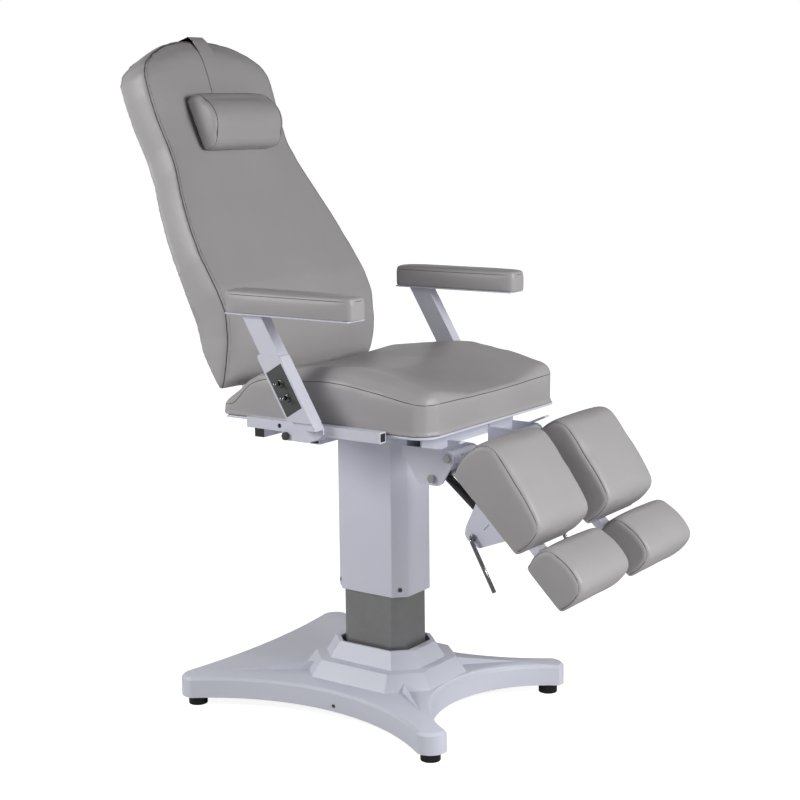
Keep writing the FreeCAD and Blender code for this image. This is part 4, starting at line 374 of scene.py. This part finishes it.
# Upholstery: grey coated leatherette over foam. The hide group gives its pebble grain, the soft
# creases of a stretched cover and a slight change of tone.
def hide_group():
    """The node group of the leatherette."""
    group = bpy.data.node_groups.new("leatherette_hide", "ShaderNodeTree")
    add_sockets(group, "INPUT", "Vector", {"Position": None})
    add_sockets(group, "INPUT", "Float", {"Pebble Scale": 620.0, "Crease Scale": 26.0, "Tone Scale": 5.0})
    add_sockets(group, "OUTPUT", "Float", {"Pebble": None, "Crease": None, "Tone": None})
    nodes, links = group.nodes, group.links
    entry, leave = nodes.new("NodeGroupInput"), nodes.new("NodeGroupOutput")
    pebble = nodes.new("ShaderNodeTexVoronoi")
    pebble.feature = "SMOOTH_F1"
    links.new(entry.outputs["Position"], pebble.inputs["Vector"])
    links.new(entry.outputs["Pebble Scale"], pebble.inputs["Scale"])
    crease, tone = nodes.new("ShaderNodeTexNoise"), nodes.new("ShaderNodeTexNoise")
    crease.inputs["Detail"].default_value = 4
    crease.inputs["Distortion"].default_value = 0.8
    tone.inputs["Detail"].default_value = 3
    for texture, scale in ((crease, "Crease Scale"), (tone, "Tone Scale")):
        links.new(entry.outputs["Position"], texture.inputs["Vector"])
        links.new(entry.outputs[scale], texture.inputs["Scale"])
    links.new(pebble.outputs["Distance"], leave.inputs["Pebble"])
    links.new(crease.outputs["Fac"], leave.inputs["Crease"])
    links.new(tone.outputs["Fac"], leave.inputs["Tone"])
    return group


leatherette_hide = hide_group()


def leatherette(name, colour, rough):
    """Coated leatherette of one colour and roughness, with its grain and creases as bumps."""
    material = bpy.data.materials.new(name)
    nodes, links = shader_tree(material)
    shader = nodes["Principled BSDF"]
    shader.inputs["Specular IOR Level"].default_value = 0.42
    place = nodes.new("ShaderNodeTexCoord")
    hide = nodes.new("ShaderNodeGroup")
    hide.node_tree = leatherette_hide
    hide.inputs["Pebble Scale"].default_value = 620
    hide.inputs["Crease Scale"].default_value = 26
    hide.inputs["Tone Scale"].default_value = 5
    links.new(place.outputs["Object"], hide.inputs["Position"])
    darker, lighter = [c * 0.93 for c in colour], [c * 1.07 for c in colour]
    shade = mixed(nodes, links, darker, lighter, hide.outputs["Tone"])
    links.new(shade.outputs["Result"], shader.inputs["Base Color"])
    spread_rough(nodes, links, rough - 0.05, rough + 0.08, hide.outputs["Crease"])
    soft, fine = nodes.new("ShaderNodeBump"), nodes.new("ShaderNodeBump")
    soft.inputs["Distance"].default_value = 0.0007
    fine.inputs["Distance"].default_value = 0.00012
    links.new(hide.outputs["Crease"], soft.inputs["Height"])
    links.new(hide.outputs["Pebble"], fine.inputs["Height"])
    links.new(soft.outputs["Normal"], fine.inputs["Normal"])
    links.new(fine.outputs["Normal"], shader.inputs["Normal"])
    return material


grey_hide = leatherette("grey_leatherette", (0.425, 0.41, 0.415), 0.42)
seam_thread = finish("seam_thread", (0.05, 0.047, 0.047), (0.1, 0.1, 0.1), 0.6,
                     ripple=3000, depth=0.0002, wear=0)


def read_points(mesh, field="co"):
    """The places or the normals of a mesh's points, one in each row."""
    values = np.empty(len(mesh.vertices) * 3)
    mesh.vertices.foreach_get(field, values)
    return values.reshape(-1, 3)


def blow_up(piece, start):
    """Blow the cover up as cloth under the foam's pressure. Returns each point's movement."""
    cloth = piece.modifiers.new("cover", "CLOTH")
    cloth.settings.quality = 4
    cloth.settings.mass = 0.3
    cloth.settings.tension_stiffness = cloth.settings.compression_stiffness = 30
    cloth.settings.shear_stiffness = 12
    cloth.settings.bending_stiffness = 4
    cloth.settings.use_pressure = True
    cloth.settings.uniform_pressure_force = 4
    cloth.settings.effector_weights.gravity = 0
    cloth.point_cache.frame_start, cloth.point_cache.frame_end = 1, sim_frames
    for step in range(1, sim_frames + 1):
        bpy.context.scene.frame_set(step)
    moved = read_points(piece.evaluated_get(bpy.context.evaluated_depsgraph_get()).data) - start
    piece.modifiers.clear()
    bpy.context.scene.frame_set(1)
    return moved


sim_frames = 20


def stuffed(node, voxel, slack, swell, flat_way, rounds=5):
    """A cushion grown from its CAD solid: the cover is drawn in a little, blown up by the foam's
    pressure, held to a small even swell, and kept flat on the side that is fixed."""
    form = opened(node)
    mesh = bpy.data.meshes.new(node + "_cover")
    form.to_mesh(mesh)
    form.free()
    piece = placed(node + "_cover", mesh)
    remesh = piece.modifiers.new("even_cover", "REMESH")
    remesh.mode, remesh.voxel_size = "VOXEL", voxel
    relax = piece.modifiers.new("relax", "SMOOTH")
    relax.factor, relax.iterations = 0.5, rounds
    bake(piece)
    rest, normals = read_points(piece.data), read_points(piece.data, "normal")
    down = np.array(Vector(flat_way).normalized())
    held = np.clip((normals @ down - 0.35) / 0.3, 0, 1)[:, None]
    start = rest - normals * slack * (1 - held)
    piece.data.vertices.foreach_set("co", start.ravel())
    moved = blow_up(piece, start)
    far = np.linalg.norm(moved, axis=1, keepdims=True)
    moved *= np.minimum(1, swell / np.maximum(far, 1e-9))
    moved = evened(piece.data, moved, 10) * (1 - held)
    piece.data.vertices.foreach_set("co", (start + moved).ravel())
    finer = piece.modifiers.new("finer", "SUBSURF")
    finer.levels = finer.render_levels = 1
    bake(piece)
    for face in piece.data.polygons:
        face.use_smooth = True
    piece.data.materials.clear()
    piece.data.materials.append(grey_hide)
    return piece


def evened(mesh, moved, passes):
    """Spread each point's movement over its neighbours, so that the cover bulges without ripples."""
    pairs = np.empty(len(mesh.edges) * 2, dtype=int)
    mesh.edges.foreach_get("vertices", pairs)
    one, other = pairs.reshape(-1, 2).T
    shares = np.bincount(one, minlength=len(moved)) + np.bincount(other, minlength=len(moved)) + 1
    for _ in range(passes):
        total = moved.copy()
        for axis in range(3):
            total[:, axis] += np.bincount(one, moved[other, axis], len(moved))
            total[:, axis] += np.bincount(other, moved[one, axis], len(moved))
        moved = total / shares[:, None]
    return moved


def bake(piece):
    """Turn a piece's modifiers into its plain mesh."""
    graph = bpy.context.evaluated_depsgraph_get()
    graph.update()
    mesh = bpy.data.meshes.new_from_object(piece.evaluated_get(graph))
    piece.modifiers.clear()
    piece.data = mesh


seam_step = 0.006


def cut_line(piece, point, normal):
    """The closed line where a plane cuts a cushion, as evenly spaced points."""
    form = bmesh.new()
    form.from_mesh(piece.data)
    found = bmesh.ops.bisect_plane(form, geom=form.verts[:] + form.edges[:] + form.faces[:],
                                   plane_co=point, plane_no=normal)["geom_cut"]
    near = {}
    for edge in (g for g in found if isinstance(g, bmesh.types.BMEdge)):
        for one, other in ((edge.verts[0], edge.verts[1]), (edge.verts[1], edge.verts[0])):
            near.setdefault(one, []).append(other)
    line = []
    if near:
        here, before = next(iter(near)), None
        start = here
        while True:
            line.append(here.co.copy())
            onward = [v for v in near[here] if v is not before and v is not start]
            if not onward:
                break
            before, here = here, onward[0]
            if len(line) > len(near):
                break
    form.free()
    return spaced(line + line[:1], seam_step)[:-1]


def spaced(line, pitch):
    """Points at even steps along a line of straight runs."""
    gaps = [(b - a).length for a, b in zip(line, line[1:])]
    total = sum(gaps)
    steps = max(int(total / pitch), 2)
    out, run, index = [], 0.0, 0
    for k in range(steps + 1):
        want = total * k / steps
        while index < len(gaps) - 1 and run + gaps[index] < want:
            run += gaps[index]
            index += 1
        share = (want - run) / gaps[index] if gaps[index] else 0
        out.append(line[index].lerp(line[index + 1], min(max(share, 0), 1)))
    return out


def eased_line(points, closed, passes):
    """The same points with their small wobbles taken out."""
    points = [p.copy() for p in points]
    count = len(points)
    for _ in range(passes):
        fresh = []
        for i, p in enumerate(points):
            if not closed and i in (0, count - 1):
                fresh.append(p)
            else:
                fresh.append((points[i - 1] + p * 2 + points[(i + 1) % count]) / 4)
        points = fresh
    return points


def draw_in(piece, line, depth, width):
    """Pull the cover in along a seam, as the sewn line does to the foam under it."""
    from_line = np.array([tuple(p) for p in line])
    spots, normals = read_points(piece.data), read_points(piece.data, "normal")
    nearest = np.full(len(spots), 1e9)
    batch = 64
    for start in range(0, len(from_line), batch):
        part = from_line[start:start + batch]
        gap = np.linalg.norm(spots[:, None, :] - part[None, :, :], axis=2).min(axis=1)
        nearest = np.minimum(nearest, gap)
    pull = depth * np.exp(-(nearest / width) ** 2)
    piece.data.vertices.foreach_set("co", (spots - normals * pull[:, None]).ravel())
    piece.data.update()


def seam_tree():
    """A sewn seam along a line: the rolled edge of the cover, in a dark colour that is painted shade of the
    seam's groove, and a row of stitches on it.
    """
    tree = bpy.data.node_groups.new("sewn_seam", "GeometryNodeTree")
    add_sockets(tree, "INPUT", "Geometry", {"Line": None})
    add_sockets(tree, "INPUT", "Float", {"Roll Radius": 0.0011, "Stitch Pitch": 0.0065,
                                         "Stitch Length": 0.0042, "Stitch Radius": 0.0006})
    add_sockets(tree, "INPUT", "Material", {"Cover": None, "Thread": None})
    add_sockets(tree, "OUTPUT", "Geometry", {"Seam": None})
    nodes, links = tree.nodes, tree.links
    entry, leave = nodes.new("NodeGroupInput"), nodes.new("NodeGroupOutput")
    curve = nodes.new("GeometryNodeMeshToCurve")
    links.new(entry.outputs["Line"], curve.inputs["Mesh"])
    ring = nodes.new("GeometryNodeCurvePrimitiveCircle")
    ring.inputs["Resolution"].default_value = 8
    links.new(entry.outputs["Roll Radius"], ring.inputs["Radius"])
    roll = nodes.new("GeometryNodeCurveToMesh")
    roll.inputs["Fill Caps"].default_value = True
    links.new(curve.outputs["Curve"], roll.inputs["Curve"])
    links.new(ring.outputs["Curve"], roll.inputs["Profile Curve"])
    roll_finish = nodes.new("GeometryNodeSetMaterial")
    links.new(roll.outputs["Mesh"], roll_finish.inputs["Geometry"])
    links.new(entry.outputs["Cover"], roll_finish.inputs["Material"])
    spots = nodes.new("GeometryNodeCurveToPoints")
    spots.mode = "LENGTH"
    links.new(curve.outputs["Curve"], spots.inputs["Curve"])
    links.new(entry.outputs["Stitch Pitch"], spots.inputs["Length"])
    bead = nodes.new("GeometryNodeMeshCylinder")
    bead.inputs["Vertices"].default_value = 6
    links.new(entry.outputs["Stitch Radius"], bead.inputs["Radius"])
    links.new(entry.outputs["Stitch Length"], bead.inputs["Depth"])
    row = nodes.new("GeometryNodeInstanceOnPoints")
    links.new(spots.outputs["Points"], row.inputs["Points"])
    links.new(bead.outputs["Mesh"], row.inputs["Instance"])
    turn = nodes.new("FunctionNodeAlignRotationToVector")
    turn.axis = "Z"
    links.new(spots.outputs["Tangent"], turn.inputs["Vector"])
    links.new(turn.outputs["Rotation"], row.inputs["Rotation"])
    real = nodes.new("GeometryNodeRealizeInstances")
    links.new(row.outputs["Instances"], real.inputs["Geometry"])
    thread = nodes.new("GeometryNodeSetMaterial")
    links.new(real.outputs["Geometry"], thread.inputs["Geometry"])
    links.new(entry.outputs["Thread"], thread.inputs["Material"])
    both = nodes.new("GeometryNodeJoinGeometry")
    links.new(roll_finish.outputs["Geometry"], both.inputs["Geometry"])
    links.new(thread.outputs["Geometry"], both.inputs["Geometry"])
    links.new(both.outputs["Geometry"], leave.inputs["Seam"])
    return tree


sewn_seam = seam_tree()
# The rolled edge of each seam is painted near black: painted shade in the seam's groove, over a cover that is
# grey.
seam_roll = leatherette("seam_roll", (0.085, 0.081, 0.082), 0.6)


def sew(name, piece, body, lines, roll=0.0011, closed=True, depth=0.0016, width=0.005, pitch=0.0065):
    """Sew seams into a cushion: draw the cover in along each line, then lay roll and stitches in."""
    for line in lines:
        draw_in(piece, line, depth, width)
    faces = [tuple(f.vertices) for f in piece.data.polygons]
    shell = BVHTree.FromPolygons([v.co for v in piece.data.vertices], faces)
    spots, edges = [], []
    for line in lines:
        first = len(spots)
        on_cover = []
        for point in line:
            near, normal, _, _ = shell.find_nearest(point)
            on_cover.append(near - normal * roll * 0.35)
        on_cover = eased_line(on_cover, closed, 2)
        spots += [tuple(p) for p in on_cover]
        edges += [(first + i, first + i + 1) for i in range(len(line) - 1)]
        if closed:
            edges.append((first + len(line) - 1, first))
    mesh = bpy.data.meshes.new(name)
    mesh.from_pydata(spots, edges, [])
    seam = placed(name, mesh)
    work = seam.modifiers.new("sewn", "NODES")
    work.node_group = sewn_seam
    sockets = {s.name: s.identifier for s in sewn_seam.interface.items_tree if s.in_out == "INPUT"}
    for socket, value in (("Roll Radius", roll), ("Stitch Pitch", pitch), ("Stitch Length", pitch * 0.62),
                          ("Stitch Radius", 0.0005), ("Cover", seam_roll), ("Thread", seam_thread)):
        work[sockets[socket]] = value
    bake(seam)
    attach(seam, body)
    return seam


# Seat: one broad foam cushion with a raised bolster behind its middle. Its top panel is sewn to a
# side band; the seam rises from the rear corner, runs level under the bolster and drops to the front.
seat = stuffed("seat_cushion", 0.0062, 0.0025, 0.004, (0, 0, -1))
seam_heights = ((-0.214, 0.722), (-0.200, 0.738), (-0.163, 0.776), (-0.102, 0.794), (-0.046, 0.798),
                (0.041, 0.799), (0.112, 0.794), (0.154, 0.789), (0.197, 0.782), (0.242, 0.775),
                (0.280, 0.770), (0.300, 0.768))
seat_low, seat_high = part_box("seat_cushion")
right_run = [Vector((x, seat_low.y, z)) for x, z in seam_heights]
front_run = [Vector((seat_high.x, y, 0.767)) for y in np.linspace(seat_low.y + 0.02, seat_high.y - 0.02, 24)]
left_run = [Vector((x, seat_high.y, z)) for x, z in reversed(seam_heights)]
rear_run = [Vector((seat_low.x, y, 0.728)) for y in np.linspace(seat_high.y - 0.01, seat_low.y + 0.01, 24)]
seam_run = spaced(right_run + front_run + left_run + rear_run + right_run[:1], seam_step)[:-1]
seat_seam = eased_line(seam_run, True, 6)
sew("seat_seam", seat, "lift", [seat_seam], roll=0.0009, depth=0.0015, width=0.006)
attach(seat, "lift")
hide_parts("seat_cushion")


# Back rest: a padded shell that narrows to the head. Its front panel is sewn to a side band along
# the front corner, with a line of top stitching beside the seam.
back = stuffed("back_cushion", 0.0068, 0.0025, 0.004, (-0.9, 0, -0.42))
back_rows = ((-0.246, 0.747, 0.270), (-0.243, 0.752, 0.2745), (-0.234, 0.768, 0.279), (-0.226, 0.797, 0.283),
             (-0.218, 0.843, 0.283), (-0.220, 0.872, 0.280), (-0.223, 0.926, 0.279), (-0.248, 0.979, 0.2816),
             (-0.296, 1.053, 0.279), (-0.333, 1.114, 0.269), (-0.372, 1.180, 0.2505), (-0.405, 1.242, 0.229),
             (-0.430, 1.287, 0.222), (-0.459, 1.351, 0.2264), (-0.479, 1.410, 0.230), (-0.494, 1.454, 0.2264),
             (-0.505, 1.482, 0.209), (-0.515, 1.506, 0.170), (-0.523, 1.527, 0.119), (-0.527, 1.537, 0.057))


def back_edge(draw):
    """The line up the right of the front panel, over the head and down the left, a little inside."""
    right = [Vector((x, draw - half, z)) for x, z, half in back_rows]
    left = [Vector((x, half - draw, z)) for x, z, half in back_rows]
    return eased_line(spaced(right + left[::-1], seam_step), False, 10)


sew("back_seam", back, "backrest", [back_edge(0.003)], roll=0.0013, closed=False, depth=0.002, width=0.005)
sew("back_top_stitch", back, "backrest", [back_edge(0.013)],
    roll=0.0005, closed=False, depth=0.0008, width=0.003)
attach(back, "backrest")
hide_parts("back_cushion")


# Pillow: a half round roll of foam on a flat strap that goes over the head end of the back. Its
# two end panels are piped.
pillow = stuffed("pillow", 0.0042, 0.0015, 0.004, (-0.9, 0, -0.42))
pillow_low, pillow_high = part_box("pillow")
ends = [cut_line(pillow, (0, y, 0), (0, 1, 0)) for y in (pillow_low.y + 0.011, pillow_high.y - 0.011)]
sew("pillow_piping", pillow, "pillow", ends, roll=0.0016, depth=0.0012, width=0.005)
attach(pillow, "pillow")
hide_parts("pillow")

eased("pillow_strap", grey_hide, 0.001)


# Arm pads: firm foam on a board, wrapped in the same cover, with a seam round the top panel.
for side in ("right", "left"):
    node = "arm_pad_" + side
    pad = stuffed(node, 0.0042, 0.0012, 0.0024, (0, 0, -1))
    low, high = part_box(node)
    rim = cut_line(pad, (0, 0, high.z - 0.011), (0, 0, 1))
    sew("arm_seam_" + side, pad, "arm_" + side, [rim], roll=0.0008, depth=0.001, width=0.004)
    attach(pad, "arm_" + side)
    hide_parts(node)


# Leg rests: a long calf pad and a shorter foot pad on each side, thick foam with crowned tops. Each
# is a broad top panel that wraps over the ends, sewn to two flat side panels.
leg_down = (-math.sin(math.radians(44.6)), 0, -math.cos(math.radians(44.6)))
for side in ("right", "left"):
    for kind, body in (("calf", "leg_"), ("foot", "foot_rest_")):
        node = kind + "_pad_" + side
        pad = stuffed(node, 0.0052, 0.003, 0.0032, leg_down, 4 if kind == "calf" else 8)
        low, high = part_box(node)
        lines = [cut_line(pad, (0, y, 0), (0, 1, 0)) for y in (low.y + 0.006, high.y - 0.006)]
        sew(kind + "_seams_" + side, pad, body + side, lines, roll=0.0010, depth=0.0016, width=0.005)
        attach(pad, body + side)
        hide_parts(node)
